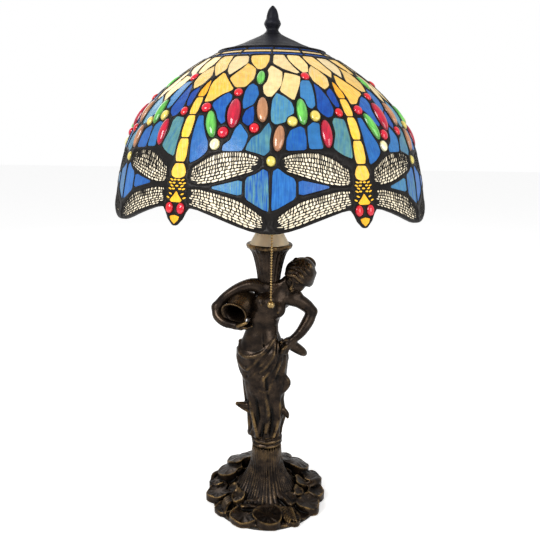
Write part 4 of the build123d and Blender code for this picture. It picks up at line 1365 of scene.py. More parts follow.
# her left arm, hand on the hip
body_clay.curve([(33, -3, 315), (43, -2, 311), (54, 0, 303), (61.5, 1, 295)], [11.0, 10.0, 9.2, 7.6], soft=4)
body_clay.curve([(61.5, 1, 295), (56, -3, 282), (46, -10, 268), (35, -14, 258)], [7.6, 8.6, 7.4, 6.0], soft=3)
hand(body_clay, (35, -14, 258), (28, -17.5, 252),
     [[(26 + 1.4 * i, -21.5 + 1.8 * i, 251), (21 + 2.2 * i, -24.5 + 1.6 * i, 246),
       (18 + 2.8 * i, -24 + 1.5 * i, 240)]
      for i in range(4)],
     [(31, -15, 258), (24, -19.5, 259), (19, -21.5, 257)], 2.7)
print("body blocked out,", body_clay.field.size, "grid points")

# %% [markdown]
# ## Drapery
# Cloth hangs low on her right hip and is drawn up to the hand on her left. Folds fan out from that hand.
# Each fold is a thin limb laid on the trunk, thick in the middle and fading at its ends, and the skirt
# below is a stack of ovals rippled by a few sines that drift round as they come down.

# %% Skirt and folds
def skirt_section(height):
    """The trunk's section, a little larger: the cloth over it."""
    x, y, wide, deep = trunk_at(height)
    grow = np.interp(height - figure_foot, [-4, 10, 60, 110, 140, 150], [2.0, 1.0, 0.6, 0.8, 0.6, -1.5])
    return x, y, wide + grow, deep + grow


def skirt_folds(angle, height):
    """How far the skirt's folds stand out at an angle round the figure and a height."""
    level = (height - figure_foot) / 100
    drift = 1.1 * level
    deep = np.interp(level, [0, 0.25, 0.7, 1.15, 1.4], [1.5, 1.9, 1.2, 0.9, 0.0])
    ripple = np.sin(9 * angle + 4.5 * drift) + 0.55 * np.sin(14 * angle - 5.0 * drift + 1.0)
    sharp = ripple - 0.30 * ripple ** 2
    return deep * sharp * 0.85


rounded_tube(body_clay, skirt_section, figure_foot - 1, figure_foot + 134, 2.0, skirt_folds)
# the top edge of the cloth, and the folds below it
cloth_folds = [
    ([(-96, 250), (-62, 238), (-34, 234.5), (-6, 239), (14, 248), (36, 258), (52, 264)], 2.4, 3.6),
    ([(-92, 240), (-68, 224), (-44, 215), (-30, 219), (-12, 231), (8, 244), (40, 259)], 1.6, 2.6),
    ([(-84, 226), (-70, 206), (-46, 200), (-24, 208), (-2, 224), (20, 240), (44, 257)], 1.2, 2.0),
    ([(-6, 214), (8, 222), (24, 236), (34, 248), (46, 260)], 1.4, 4.0),
    ([(-20, 190), (4, 206), (26, 224), (42, 244), (54, 257)], 1.0, 3.0),
    ([(10, 180), (26, 204), (44, 228), (60, 250)], 1.0, 2.8),
    ([(34, 166), (48, 196), (62, 224), (72, 250)], 0.8, 2.4),
    ([(100, 252), (132, 244), (170, 238), (214, 240), (252, 248), (264, 250)], 2.2, 3.4),
    ([(96, 240), (130, 226), (172, 220), (216, 226), (262, 238)], 1.4, 2.6),
    ([(88, 226), (124, 206), (168, 200), (214, 208), (256, 222)], 1.0, 2.2),
]
for line, thin, thick in cloth_folds:
    points = [on_trunk(azimuth, height, 0.4) for azimuth, height in line]
    middle = (len(line) - 1) / 2
    radii = [thin + (thick - thin) * (1 - abs(i - middle) / middle) for i in range(len(line))]
    body_clay.curve(points, radii, steps=4, soft=2.4)
# knees and shins that press against the cloth, and long folds between them
body_clay.egg((-17, -17, 193), (11, 9, 18), soft=8)
body_clay.egg((11, -14, 183), (11, 8, 18), soft=8)
body_clay.curve([(-6, -26, 205), (-4, -24, 180), (2, -24, 150), (-2, -22, 118)], [1.4, 2.2, 2.8, 2.2], soft=3)
body_clay.curve([(-26, -15, 180), (-22, -20, 150), (-16, -20, 122), (-14, -19, 110)], [1.2, 2.4, 2.6, 2.0],
                soft=3)
body_clay.curve([(14, -21, 186), (18, -18, 160), (16, -18, 132), (10, -20, 110)], [1.2, 2.4, 2.6, 2.0],
                soft=3)
body_clay.curve([(-20, -24, 195), (-15, -25, 190), (-8, -25.5, 184), (2, -24, 182)], [1.6, 2.4, 1.8, 0.8],
                soft=2)
# cloth that stands away from her: the gathered end at her left hip, the pleat at the knee, the flying corner
body_clay.curve([(28, -12, 253), (38, -11, 246), (47, -8, 239), (51, -5, 235)], [7.4, 7.6, 6.6, 5.2], soft=4)
body_clay.curve([(22, -13, 205), (28, -12, 193), (25, -13, 184), (18, -16, 178)], [3.0, 5.4, 4.6, 2.4],
                soft=4)
body_clay.curve([(-24, -8, 153), (-34, -9, 155), (-44, -10, 158)], [7.0, 4.6, 2.0], soft=3)
body_clay.curve([(-22, -14, 146), (-34, -13, 150.5), (-45, -11, 156.5)], [3.0, 2.0, 1.2], soft=1.5)
body_clay.curve([(22, -12, 150), (28, -14, 144), (30, -15, 139)], [5.0, 4.0, 2.0], soft=3)
# the hem, gathered on the collar
for index in range(13):
    turn = 360 * index / 13
    body_clay.limb([on_trunk(turn + 6, figure_foot + 14, -1.5), on_trunk(turn, figure_foot + 2.5, 0.5)],
                   [1.6, 2.8], soft=2.2)
figure_mesh = body_clay.mesh("figure_casting", 0.22, 0.55)
dress("figure_casting", figure_mesh, "base", bronze,
      ("figure_body", "figure_arm_left", "figure_arm_right", "drapery_sash"))

# %% [markdown]
# ## Head and hair
# The head is its own casting, set on the neck and bent towards her left shoulder. The face is a plain
# classical one: eyes halfway up, a short nose that ends a little over a third of the way from eyes to chin,
# and the mouth about a third of the way from there. Wavy hair is drawn back from a parting to a knot behind.

# %% Head
skull_place = np.array((41.5, -10.0, 348.5))
face_way = np.array((-0.50, -0.77, -0.40))
face_way /= np.linalg.norm(face_way)
crown_way = np.array((0.36, 0.0, 0.93))
crown_way -= (crown_way @ face_way) * face_way
crown_way /= np.linalg.norm(crown_way)
side_way = np.cross(face_way, crown_way)
head_turn = np.column_stack([side_way, crown_way, face_way])


head_scale = 1.3


def in_head(side, up, front):
    """A place in the head: millimetres to her side, up to the crown and forward to the face."""
    return skull_place + head_scale * head_turn @ np.array((side, up, front), dtype=float)


head_clay = Clay((6, -46, 312), (80, 28, 384), 0.7)


def head_egg(place, radii, soft, cut=False):
    head_clay.egg(in_head(*place), [head_scale * r for r in radii], head_turn, soft, cut)


def head_curve(places, radii, soft, steps=3, cut=False):
    head_clay.curve([in_head(*place) for place in places], [head_scale * r for r in radii], steps, soft, cut)


head_egg((0, 1.5, -1.5), (12.6, 15.0, 15.0), 2)
head_egg((0, -6.5, 5.0), (9.6, 9.5, 9.0), 5)
head_egg((0, -13.6, 9.4), (3.9, 3.2, 3.6), 4)
head_curve([(0, -5, -4), (0, -11, -7), (-1, -15, -9)], [6.8, 6.2, 6.0], 4)
head_egg((0, 7.0, 8.6), (9.0, 6.5, 5.4), 4)
for way in (-1, 1):
    head_egg((way * 6.4, -4.6, 9.2), (4.2, 4.6, 3.6), 4)
    head_egg((way * 5.0, 0.6, 14.0), (3.4, 2.4, 2.6), 2.0, cut=True)
    head_egg((way * 4.9, 0.3, 10.7), (2.9, 2.2, 2.5), 0.7)
    head_curve([(way * 2.2, 0.2, 13.0), (way * 4.9, -0.9, 13.2), (way * 7.4, 0.0, 11.4)], [0.3, 0.4, 0.3],
               0.4)
    head_curve([(way * 1.9, 3.2, 13.6), (way * 5.0, 4.3, 13.2), (way * 8.4, 3.0, 10.4)], [0.7, 0.8, 0.6], 1.6)
    head_egg((way * 1.5, -5.0, 14.6), (1.1, 0.9, 1.2), 0.9)
head_curve([(0, 3.0, 13.2), (0, -1.2, 14.8), (0, -4.5, 16.8)], [1.0, 1.1, 1.5], 1.6)
head_curve([(-3.3, -9.0, 12.6), (-1.2, -8.3, 14.2), (0, -8.6, 14.4), (1.2, -8.3, 14.2), (3.3, -9.0, 12.6)],
           [0.5, 0.9, 0.8, 0.9, 0.5], 0.6)
head_curve([(-2.6, -9.9, 12.8), (0, -10.5, 14.0), (2.6, -9.9, 12.8)], [0.5, 1.1, 0.5], 0.6)
head_curve([(-3.4, -9.3, 13.6), (0, -9.4, 15.6), (3.4, -9.3, 13.6)], [0.2, 0.25, 0.2], 0.4, cut=True)

# %% Hair
head_egg((0, 5.0, -4.2), (14.6, 14.6, 14.8), 1.2)
head_egg((0, 1.5, -19.5), (8.0, 7.6, 6.6), 3.0)
lock_count = 8
for way in (-1, 1):
    for index in range(lock_count):
        share = index / (lock_count - 1)
        root = (way * (1.0 + 1.0 * share), 10.5 + 7.5 * math.sin(share * 2.4), 11.5 - 17.5 * share)
        side = (way * (9.5 + 3.0 * math.sin(math.pi * share)), 4.5 + 8.5 * share, 8.6 - 13.0 * share)
        low = (way * (13.6 - 1.2 * share), -3.5 + 9.0 * share, -1.5 - 8.0 * share)
        back = (way * (8.5 - 2.5 * share), -5.0 + 10.0 * share, -15.0)
        wave = 1.0 if index % 2 else -1.0
        mid_one = (way * (6.2 + 1.5 * share), 9.6 + 7.0 * share + wave * 1.3, 12.2 - 15.0 * share)
        head_curve([root, mid_one, side, low, back], [1.6, 2.4, 2.8, 2.5, 1.9], 1.5, steps=4)
# a roll of hair round the brow, and curls at the temple and nape
for way in (-1, 1):
    head_curve([(0, 10.4, 12.2), (way * 5.0, 9.0, 12.0), (way * 9.6, 5.0, 9.0), (way * 12.2, -0.5, 4.6),
                (way * 12.4, -6.0, -1.0)], [2.0, 2.6, 2.8, 2.6, 2.0], 0.9, steps=4)
    for turn in range(9):
        angle = turn * 0.8
        reach = 4.2 - 0.4 * turn
        spot = (way * 13.4, -5.5 + reach * math.sin(angle), -4.0 + reach * math.cos(angle))
        head_egg(spot, (1.7, 1.7, 1.7), 1.2)
knot_line = [(reach * math.cos(0.55 * turn), 1.5 + reach * math.sin(0.55 * turn), -23.0 - 0.12 * turn)
             for turn, reach in enumerate(np.linspace(7.0, 1.0, 24))]
head_curve(knot_line, [1.6] + [2.0] * 22 + [1.4], 0.8, steps=2)
dress("figure_head_casting", head_clay.mesh("figure_head_casting", 0.18, 0.5, 5), "base", bronze,
      ("figure_head",))

# %% [markdown]
# ## Jug, cup and cone
# The jug is a lathe form with a rolled lip, laid on its side under the arm. The cup under the cone is a
# flower of fine upright flutes that open into a thick lip. Both are turned, then rippled where they are
# fluted. The cone above the cup is spun sheet, brushed round and round.

# %% Turned pieces
def turned_mesh(name, profile, steps, ripple=None, place=None, wear=None):
    """Closed lathe mesh from a profile in millimetres, placed by a matrix, with a wear value per row."""
    points, faces = revolved(profile, steps, ripple)
    if place is not None:
        points = [place @ Vector(p) for p in points]
    mesh = bpy.data.meshes.new(name)
    mesh.from_pydata([Vector(p) * MM for p in points], [], faces)
    if wear is not None:
        data = mesh.attributes.new("wear", "FLOAT", "POINT")
        data.data.foreach_set("value", np.repeat(np.array(wear, dtype=np.float32), steps))
    flip = bmesh.new()
    flip.from_mesh(mesh)
    bmesh.ops.remove_doubles(flip, verts=flip.verts, dist=1e-7)
    bmesh.ops.recalc_face_normals(flip, faces=flip.faces)
    flip.to_mesh(mesh)
    flip.free()
    mesh.update()
    return mesh


def stepped(points, radius, height):
    """(radius, height) points moved out and up."""
    return [(radius + r, height + z) for r, z in points]


def soft_profile(points, steps=4):
    """A smooth run of (radius, height) points through a few given ones."""
    line, _ = smooth_line([(r, z, 0) for r, z in points], [1] * len(points), steps)
    return [(max(float(r), 0.0), float(z)) for r, z, _ in line]


jug_mouth = Vector((-47.1, -20.5, 295.8))
jug_way = Vector((-0.36, -0.82, -0.30)).normalized()
jug_long = 48.0
jug_turn = jug_way.to_track_quat("Z", "Y").to_matrix().to_4x4()
jug_place = Matrix.Translation(jug_mouth - jug_way * jug_long) @ jug_turn
jug_outside = soft_profile([(0, 0), (8, 0.6), (15.5, 4.5), (20.0, 12), (21.4, 20), (20.4, 29), (17.4, 36),
                            (15.4, 41), (15.4, 44), (17.2, 46.6), (18.6, 48.0)])
jug_lip = [(19.2, 49.2), (18.6, 50.2), (17.2, 49.8)]
jug_inside = soft_profile([(15.6, 47.4), (13.4, 44), (13.0, 40), (14.5, 34), (16.0, 26), (17.0, 18), (15, 9),
                           (7, 4), (0, 3.2)])
jug_profile = jug_outside + jug_lip + jug_inside
jug_wear = [0.12] * len(jug_outside) + [0.45, 0.6, 0.3] + [0.0] * len(jug_inside)


def jug_ribs(index, angle):
    """Shallow gadroons round the jug's belly and a wavy lip."""
    height = jug_profile[index][1]
    belly = math.exp(-((height - 14) / 11) ** 2) * (index < len(jug_outside))
    lip = 0.7 if len(jug_outside) - 2 <= index < len(jug_outside) + 4 else 0.0
    return 0.5 * belly * abs(math.sin(9 * angle)) + lip * math.sin(3 * angle)


dress("water_jug_casting", turned_mesh("water_jug_casting", jug_profile, 96, jug_ribs, jug_place, jug_wear),
      "base", bronze, ("water_jug",))

# %% Fluted cup
cup_top = top_of("fluted_cup")
cup_foot = foot_of("fluted_cup")
cup_reach = radius_of("fluted_cup")
cup_tall = cup_top - cup_foot
cup_outside = soft_profile(
    stepped([(5.4, 1), (10.0, 1), (10.6, 4), (13.2, 7.5), (15.6, 11.5), (16.6, 19), (18.2, 28), (20.4, 38),
             (23.6, 48)], 0, cup_foot)
    + stepped([(28.2, -7.5), (30.0, -6.2)], 0, cup_top)
)
cup_lip = soft_profile([(30.6, cup_top - 6.0), (cup_reach, cup_top - 4.4), (cup_reach + 0.4, cup_top - 2.0),
                        (cup_reach - 0.6, cup_top - 0.4), (29.0, cup_top), (26.4, cup_top - 0.4)])
cup_inside = [(25.4, cup_top - 2.0), (25.2, cup_top - 9), (20.0, cup_top - 12), (6.0, cup_top - 14)]
cup_profile = cup_outside + cup_lip + cup_inside
flute_count = 22


def cup_flutes(index, angle):
    """Round-backed flutes that fade out at the lip, each with a fine line down its middle."""
    if index >= len(cup_outside) + len(cup_lip):
        return 0.0
    height = (cup_profile[index][1] - cup_foot) / cup_tall
    depth = np.interp(height, [0.0, 0.12, 0.22, 0.75, 0.90, 1.0], [0.1, 0.3, 1.0, 1.5, 0.5, 0.15])
    turn = angle * flute_count / 2
    return depth * (abs(math.cos(turn)) - 0.75) + 0.12 * depth * math.cos(8 * turn)


lip_wear = [0.3 + 0.6 * math.sin(math.pi * i / len(cup_lip)) for i in range(len(cup_lip))]
cup_wear = [0.0] * len(cup_outside) + lip_wear
cup_wear += [0.0] * len(cup_inside)
cone_top = top_of("cone_cap")
cone_edge = cup_reach - 4.0
cone_line = [(5.6, cone_top), (9.4, cone_top), (10.2, cone_top - 0.4), (cone_edge - 1.0, cup_top + 0.6),
             (cone_edge, cup_top - 0.6), (cone_edge - 0.4, cup_top - 1.4), (cone_edge - 2.6, cup_top - 1.4),
             (9.0, cone_top - 2.0), (5.6, cone_top - 2.0)]
dress("cup_casting", turned_mesh("cup_casting", cup_profile, flute_count * 16, cup_flutes, None, cup_wear),
      "base", bronze, ("fluted_cup",))

# %% [markdown]
# ## The foot
# The trunk of the foot is a bundle of strands that sweep down and out, like the roots of a tree, and end
# under a wreath of leaves: broad lily pads with raised rims, curled and rolled ones, striated buds and a
# small fern. It is one thin casting, so it is sculpted the same way as the figure. Each leaf is a dish:
# a shallow disc, a raised rim and veins that run in from the edge.

# %% Foot trunk with its strands
foot_top = top_of("foot_casting")
foot_low = foot_of("foot_casting")
foot_clay = Clay((-97, -94, foot_low - 2), (97, 97, foot_top + 3), 1.1)
trunk_line = smooth_line([(21.6, foot_top, 0), (22.8, 74, 0), (26.0, 54, 0), (33.5, 36, 0), (43, 23, 0),
                          (54, 13.5, 0), (66, 8, 0), (84, 5, 0)], [1], 8)[0]
trunk_slope = np.abs(np.gradient(trunk_line[:, 1], trunk_line[:, 0]))
strand_count = 46


def trunk_distance(x, y, z):
    """Flared trunk whose surface is a bundle of strands that wander a little as they come down."""
    reach = np.hypot(x, y)
    surface = np.interp(reach, trunk_line[:, 0], trunk_line[:, 1], left=foot_top)
    slope = np.interp(reach, trunk_line[:, 0], trunk_slope, left=8.0)
    angle = np.arctan2(x, -y)
    turn = angle + 0.05 * np.sin(5 * angle + 0.05 * reach) + 0.004 * (reach - 20) * np.sin(angle)
    strand = 1 - np.abs(np.sin(turn * strand_count / 2)) ** 1.4
    fade = np.clip((reach - 15) / 12, 0.45, 0.85) * np.clip((74 - reach) / 20, 0, 1)
    away = (z - surface) / np.sqrt(1 + np.minimum(slope, 8) ** 2)
    away = away * 0.9 + 1.9 * strand * fade
    edge = 80.5 + 1.0 * np.sin(9 * angle) + 0.8 * np.sin(16 * angle + 1)
    return np.maximum(np.maximum(away, reach - edge), np.maximum(z - foot_top, foot_low - z))


foot_clay.blend(trunk_distance, (-86, -86, foot_low), (86, 86, foot_top), 1.0)


# %% Leaves
def leaf(azimuth, reach, size, top, tilt=8.0, veins=9, dish=0.16, notch=0.3, wave=0.05, seed=0.0):
    """A cast leaf: a dish with a rolled rim and veins, on a plug that reaches the table."""
    turn = math.radians(azimuth)
    outward = np.array((math.sin(turn), -math.cos(turn), 0.0))
    across = np.array((math.cos(turn), math.sin(turn), 0.0))
    lean = math.radians(tilt)
    normal = outward * math.sin(lean) + np.array((0, 0, math.cos(lean)))
    centre = outward * reach + np.array((0, 0, top))

    def distance(x, y, z):
        dx, dy, dz = x - centre[0], y - centre[1], z - centre[2]
        u = (dx * outward[0] + dy * outward[1]) / math.cos(lean)
        v = dx * across[0] + dy * across[1]
        w = dx * normal[0] + dy * normal[1] + dz * normal[2]
        rho, theta = np.hypot(u, v), np.arctan2(v, u)
        edge = size * (1 + wave * np.cos(3 * theta + seed) + 0.6 * wave * np.cos(5 * theta + 2 * seed)
                       - notch * np.exp(-((np.abs(theta) - math.pi) / 0.4) ** 2))
        share = np.clip(rho / edge, 0, 1.3)
        sag = dish * size * (share ** 2 - 1) + 0.9 * np.sin(4 * theta + seed) * share ** 3
        vein = (0.7 * np.abs(np.cos(veins * theta / 2)) ** 6 * np.clip(share * 2, 0, 1)
                * np.clip((1.02 - share) * 5, 0, 1))
        plug = np.maximum(rho - edge, w - sag - vein)
        rim = np.hypot(rho - edge + 0.8, w - sag - 0.2) - 1.05
        return np.maximum(np.minimum(plug, rim), foot_low - z)

    corner = np.array((1.3 * size, 1.3 * size, 0))
    foot_clay.blend(distance, np.append((centre - corner)[:2], foot_low),
                    np.append((centre + corner)[:2], top + 9), 0.8)


def strokes(lines, radii, soft=0.8):
    """Several short curved limbs, for buds, ferns and curls."""
    for line in lines:
        foot_clay.curve(line, radii, steps=3, soft=soft)


# azimuth from the front, distance from the lamp tube, size, top, tilt
lily_pads = [
    (180, 73, 15, 20, 8), (158, 74, 14, 27, 14), (-160, 74, 15, 28, 14), (135, 66, 22, 28, 18),
    (-141, 70, 20, 30, 18), (-117, 64, 20, 26, 14), (108, 74, 17, 19, 12), (-83, 72, 18, 14, 7),
    (62, 70, 18, 14.5, 6), (-27, 67, 20, 11.5, 5), (3, 64, 21, 15, 5), (31, 73, 13, 9, 4),
    (-55, 73, 14, 9.5, 5),
    (86, 75, 14, 15, 6), (-102, 76, 13, 15, 8),
]
for index, (azimuth, reach, size, top, tilt) in enumerate(lily_pads):
    behind = abs(azimuth) > 100
    leaf(azimuth, reach, size, top, tilt, 7 + index % 4, -0.13 if behind else 0.10, seed=1.7 * index)
# the curled leaf and the rolled ones at the left and right
strokes([[(-84, 15, 12), (-82, 27, 17), (-72, 31, 19), (-67, 23, 18), (-73, 18, 16)],
         [(-80, 12, 11), (-75, 20, 15), (-68, 16, 15), (-62, 10, 15)]], [3.0, 3.4, 3.2, 2.6, 2.0])
strokes([[(66, 5, 14), (73, 9, 16), (80, 17, 15)]], [6.4, 6.8, 6.0], 1.4)
foot_clay.curve([(64, -1, 11), (72, 2, 12), (81, 10, 11)], [3.0, 3.4, 3.0], 3, 1.0, cut=True)
strokes([[(14, -27, 27), (24, -33, 21), (35, -42, 15)]], [4.4, 4.8, 4.0], 1.2)
foot_clay.curve([(11, -33, 23), (22, -40, 17), (32, -48, 12)], [2.4, 2.8, 2.2], 3, 0.8, cut=True)
# a wavy leaf edge across the front of the trunk, with a dark hollow under it
strokes([[(-38, -36, 13), (-34, -47, 13.5), (-22, -47, 15), (-10, -49, 14), (2, -45, 16), (8, -36, 20),
          (12, -27, 25)]],
        [1.8, 2.6, 3.0, 3.0, 2.8, 2.2, 1.6], 1.2)
foot_clay.curve([(-32, -51, 11), (-20, -52, 11.5), (-8, -53, 11)], [2.0, 2.8, 2.0], 3, 0.8, cut=True)
strokes([[(-28, -38, 17), (-18, -41, 19), (-8, -38, 20)], [(-20, -36, 20), (-12, -40, 20), (-2, -38, 19)]],
        [2.0, 2.8, 1.8])
# striated bud at the left, fern at the right
strokes([[(-50 - 1.5 * i, -30 + 4.0 * i, 14), (-57 - 1.5 * i, -41 + 4.2 * i, 14.5),
          (-60 - 2.0 * i, -52 + 4.6 * i, 9)]
         for i in range(-1, 3)], [1.6, 2.4, 1.5], 0.6)
fern_root, fern_tip = np.array((30.0, -47.0, 13.0)), np.array((40.0, -73.0, 8.5))
strokes([[fern_root, (fern_root + fern_tip) / 2 + (0, 0, 1.5), fern_tip]], [1.8, 1.8, 1.2])
for index in range(7):
    start = fern_root + (fern_tip - fern_root) * index / 7 + (0, 0, 1.0)
    for way in (-1, 1):
        reach = 12.5 - 0.9 * index
        strokes([[start, start + np.array((way * 0.55 * reach, -0.35 * reach, 1.2)),
                  start + np.array((way * 0.85 * reach, -0.95 * reach, -1.5))]], [1.0, 1.6, 0.9], 0.4)
# small leaves that climb from the wreath to the trunk
for index, azimuth in enumerate(range(-170, 180, 24)):
    if abs(azimuth + 2) > 30:
        leaf(azimuth, 49 + 2 * (index % 3), 9 + 2 * (index % 2), 20 + 2 * (index % 3), 32, 5,
             seed=2.3 * index)
wreath_mesh = foot_clay.mesh("foot_wreath_casting", 0.22, 0.50, 3)
spots = np.empty(3 * len(wreath_mesh.vertices), dtype=np.float32)
wreath_mesh.vertices.foreach_get("co", spots)
spots = spots.reshape(-1, 3) / MM
worn = np.empty(len(wreath_mesh.vertices), dtype=np.float32)
wreath_mesh.attributes["wear"].data.foreach_get("value", worn)
sheltered = (np.hypot(spots[:, 0], spots[:, 1]) < 46) & (spots[:, 2] > 22)
hidden_wear = np.where(sheltered, 0.35 * worn, worn).astype(np.float32)
wreath_mesh.attributes["wear"].data.foreach_set("value", hidden_wear)
dress("foot_wreath_casting", wreath_mesh, "base", bronze, ("foot_casting",))

# %% Collar between foot and figure
collar_low, collar_high = foot_of("collar_ring"), top_of("collar_ring")
collar_reach = radius_of("collar_ring")
collar_rings = [(-1.6, 0.2), (-0.2, 1.8), (-1.0, 3.6), (-1.6, 4.6), (-0.2, 6.4), (0.6, 9.0), (-0.4, 11.4),
                (-2.4, 12.6), (-1.8, 14.4)]
collar_line = soft_profile(
    [(5.6, collar_low + 0.2)] + stepped(collar_rings, collar_reach, collar_low)
    + [(collar_reach - 3.4, collar_high), (5.6, collar_high)], 3)
collar_wear = [0.45 if r > collar_reach + 0.2 or abs(z - collar_low - 1.8) < 0.8 else 0.0
               for r, z in collar_line]


def collar_wobble(index, angle):
    """The hand-dressed edge of the ring."""
    if collar_line[index][0] <= 12:
        return 0.0
    return 0.35 * math.sin(5 * angle + 0.2 * index) + 0.2 * math.sin(11 * angle)


dress("collar_casting", turned_mesh("collar_casting", collar_line, 96, collar_wobble, None, collar_wear),
      "base", bronze, ("collar_ring",))

# %% [markdown]
# ## Cap, finial and pull chain
# The heat cap is a spun cone with a hollow flank and a rolled edge; the finial on top of it is turned to a
# blunt bud. The pull chain is a ball chain: hollow beads on short links of wire. Beads that repeat along a
# line are a job for Geometry Nodes, which put one bead on every point and turn the result into one mesh.

# %% Cap and finial
cap_low, cap_top, cap_reach = foot_of("heat_cap"), top_of("heat_cap"), radius_of("heat_cap")
cap_tall = cap_top - cap_low
cap_flank = ((0.82, 0.22), (0.70, 0.34), (0.58, 0.47), (0.47, 0.62), (0.35, 0.77), (0.25, 0.90))
cap_outside = soft_profile(
    stepped([(-1.6, 0.2), (0.4, 0.8), (0.6, 2.0), (-2.0, 2.8)], cap_reach, cap_low)
    + [(share * cap_reach, cap_low + rise * cap_tall) for share, rise in cap_flank]
    + [(0.20 * cap_reach, cap_top - 0.5), (0.17 * cap_reach, cap_top), (0.13 * cap_reach, cap_top)], 5)
cap_inside = [(max(r - 0.5, 5.5), z - 1.3) for r, z in reversed(cap_outside[14:-4])]
cap_inside.append((cap_reach - 2.6, cap_low + 0.2))
cap_profile = cap_outside + cap_inside
dress("heat_cap_spun", turned_mesh("heat_cap_spun", cap_profile, 128), "shade", dark_bronze,
      ("heat_cap",))

finial_low, finial_top, finial_reach = foot_of("finial"), top_of("finial"), radius_of("finial")
finial_line = soft_profile(
    stepped([(5.3, 0), (11.4, 0), (10.4, 1.4), (8.4, 3.6), (7.6, 5.8), (8.8, 8.6), (finial_reach + 1.9, 12.4),
             (9.6, 15.6), (8.1, 18.6), (7.5, 22.0), (6.7, 25.4), (5.1, 29.4)], 0, finial_low)
    + stepped([(2.8, -1.2), (1.4, 0.3), (0.0, 0.7)], 0, finial_top), 4)
finial_core = [(0.0, finial_low + 9.0), (5.3, finial_low + 9.0)]


def finial_lobes(index, angle):
    """Eight soft gadroons round the finial's belly."""
    if index >= len(finial_line):
        return 0.0
    height = finial_line[index][1] - finial_low
    return 0.28 * math.exp(-((height - 11.5) / 5.0) ** 2) * math.cos(8 * angle)


dress("finial_turned", turned_mesh("finial_turned", finial_line + finial_core, 64, finial_lobes), "finial",
      dark_bronze, ("finial",))

# %% A tree that threads one bead on every point of a line
def bead_tree():
    """Geometry Nodes: beads on points, with a wire through them."""
    tree = bpy.data.node_groups.new("beads_on_line", "GeometryNodeTree")
    face = tree.interface
    face.new_socket("Geometry", in_out="INPUT", socket_type="NodeSocketGeometry")
    for name, kind, value in (("Bead Radius", "NodeSocketFloat", 0.0013),
                              ("Wire Radius", "NodeSocketFloat", 0.0005),
                              ("Spacing", "NodeSocketFloat", 0.0036)):
        face.new_socket(name, in_out="INPUT", socket_type=kind).default_value = value
    face.new_socket("Metal", in_out="INPUT", socket_type="NodeSocketMaterial")
    face.new_socket("Geometry", in_out="OUTPUT", socket_type="NodeSocketGeometry")
    nodes = tree.nodes
    enter, leave = nodes.new("NodeGroupInput"), nodes.new("NodeGroupOutput")
    to_curve = nodes.new("GeometryNodeMeshToCurve")
    points = nodes.new("GeometryNodeCurveToPoints")
    points.mode = "LENGTH"
    bead = nodes.new("GeometryNodeMeshUVSphere")
    fill(bead, {"Segments": 16, "Rings": 10})
    spread = nodes.new("GeometryNodeInstanceOnPoints")
    circle = nodes.new("GeometryNodeCurvePrimitiveCircle")
    circle.inputs["Resolution"].default_value = 8
    wire = nodes.new("GeometryNodeCurveToMesh")
    wire.inputs["Fill Caps"].default_value = True
    join = nodes.new("GeometryNodeJoinGeometry")
    real = nodes.new("GeometryNodeRealizeInstances")
    paint = nodes.new("GeometryNodeSetMaterial")
    hook(tree, (enter, "Geometry", to_curve, 0), (to_curve, 0, points, "Curve"),
               (enter, "Spacing", points, "Length"), (enter, "Bead Radius", bead, "Radius"),
               (points, "Points", spread, "Points"), (bead, "Mesh", spread, "Instance"),
               (enter, "Wire Radius", circle, "Radius"), (to_curve, 0, wire, "Curve"),
               (circle, "Curve", wire, "Profile Curve"), (spread, "Instances", join, 0),
               (wire, "Mesh", join, 0), (join, 0, real, 0), (real, 0, paint, "Geometry"),
               (enter, "Metal", paint, "Material"), (paint, "Geometry", leave, 0))
    return tree


chain_low, chain_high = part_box("pull_chain")
chain_x, chain_y = (chain_low[0] + chain_high[0]) / 2, (chain_low[1] + chain_high[1]) / 2
bead_count = 32
bead_gap = (chain_high[2] - chain_low[2]) / bead_count
line_mesh = bpy.data.meshes.new("chain_line")
line_mesh.from_pydata([(chain_x, chain_y, chain_high[2] - bead_gap / 2),
                       (chain_x, chain_y, chain_low[2] + bead_gap / 2)],
                      [(0, 1)], [])
carrier = bpy.data.objects.new("chain_line", line_mesh)
scene.collection.objects.link(carrier)
beads = carrier.modifiers.new("beads", "NODES")
beads.node_group = bead_tree()
for item in beads.node_group.interface.items_tree:
    if item.item_type == "SOCKET" and item.in_out == "INPUT":
        if item.name == "Bead Radius":
            beads[item.identifier] = (chain_high[0] - chain_low[0]) / 2 + 0.0002
        elif item.name == "Spacing":
            beads[item.identifier] = bead_gap
        elif item.name == "Metal":
            beads[item.identifier] = brass
dress("pull_chain_beads", evaluated_copy(carrier, "pull_chain_beads"), "chain", brass,
      ("pull_chain",))

ball_low, ball_high = foot_of("chain_ball"), top_of("chain_ball")
ball_reach = radius_of("chain_ball")
ball_middle = ball_low + ball_reach
ball_line = [(0.0, ball_low)]
for step in range(1, 12):
    angle = -math.pi / 2 + math.pi * step / 12
    groove = 0.25 if step == 6 else 0.0
    ball_line.append((ball_reach * math.cos(angle) - groove, ball_middle + ball_reach * math.sin(angle)))
ball_line += [(1.7, ball_high - 0.2), (1.5, ball_high + 1.0), (0.9, ball_high + 1.2), (0.0, ball_high + 1.2)]
ball_place = Matrix.Translation((chain_x / MM, chain_y / MM, 0))
dress("pull_ball", turned_mesh("pull_ball", ball_line, 48, None, ball_place), "chain", brass,
      ("chain_ball",))

# %% [markdown]
# ## Sockets, bulbs and what hides under the shade
# These pieces keep their CAD shapes. Only their finishes change: brushed spun metal, lacquered brass,
# porcelain, black phenolic, frosted glass that glows, zinc plate, cast iron, rubber and felt.

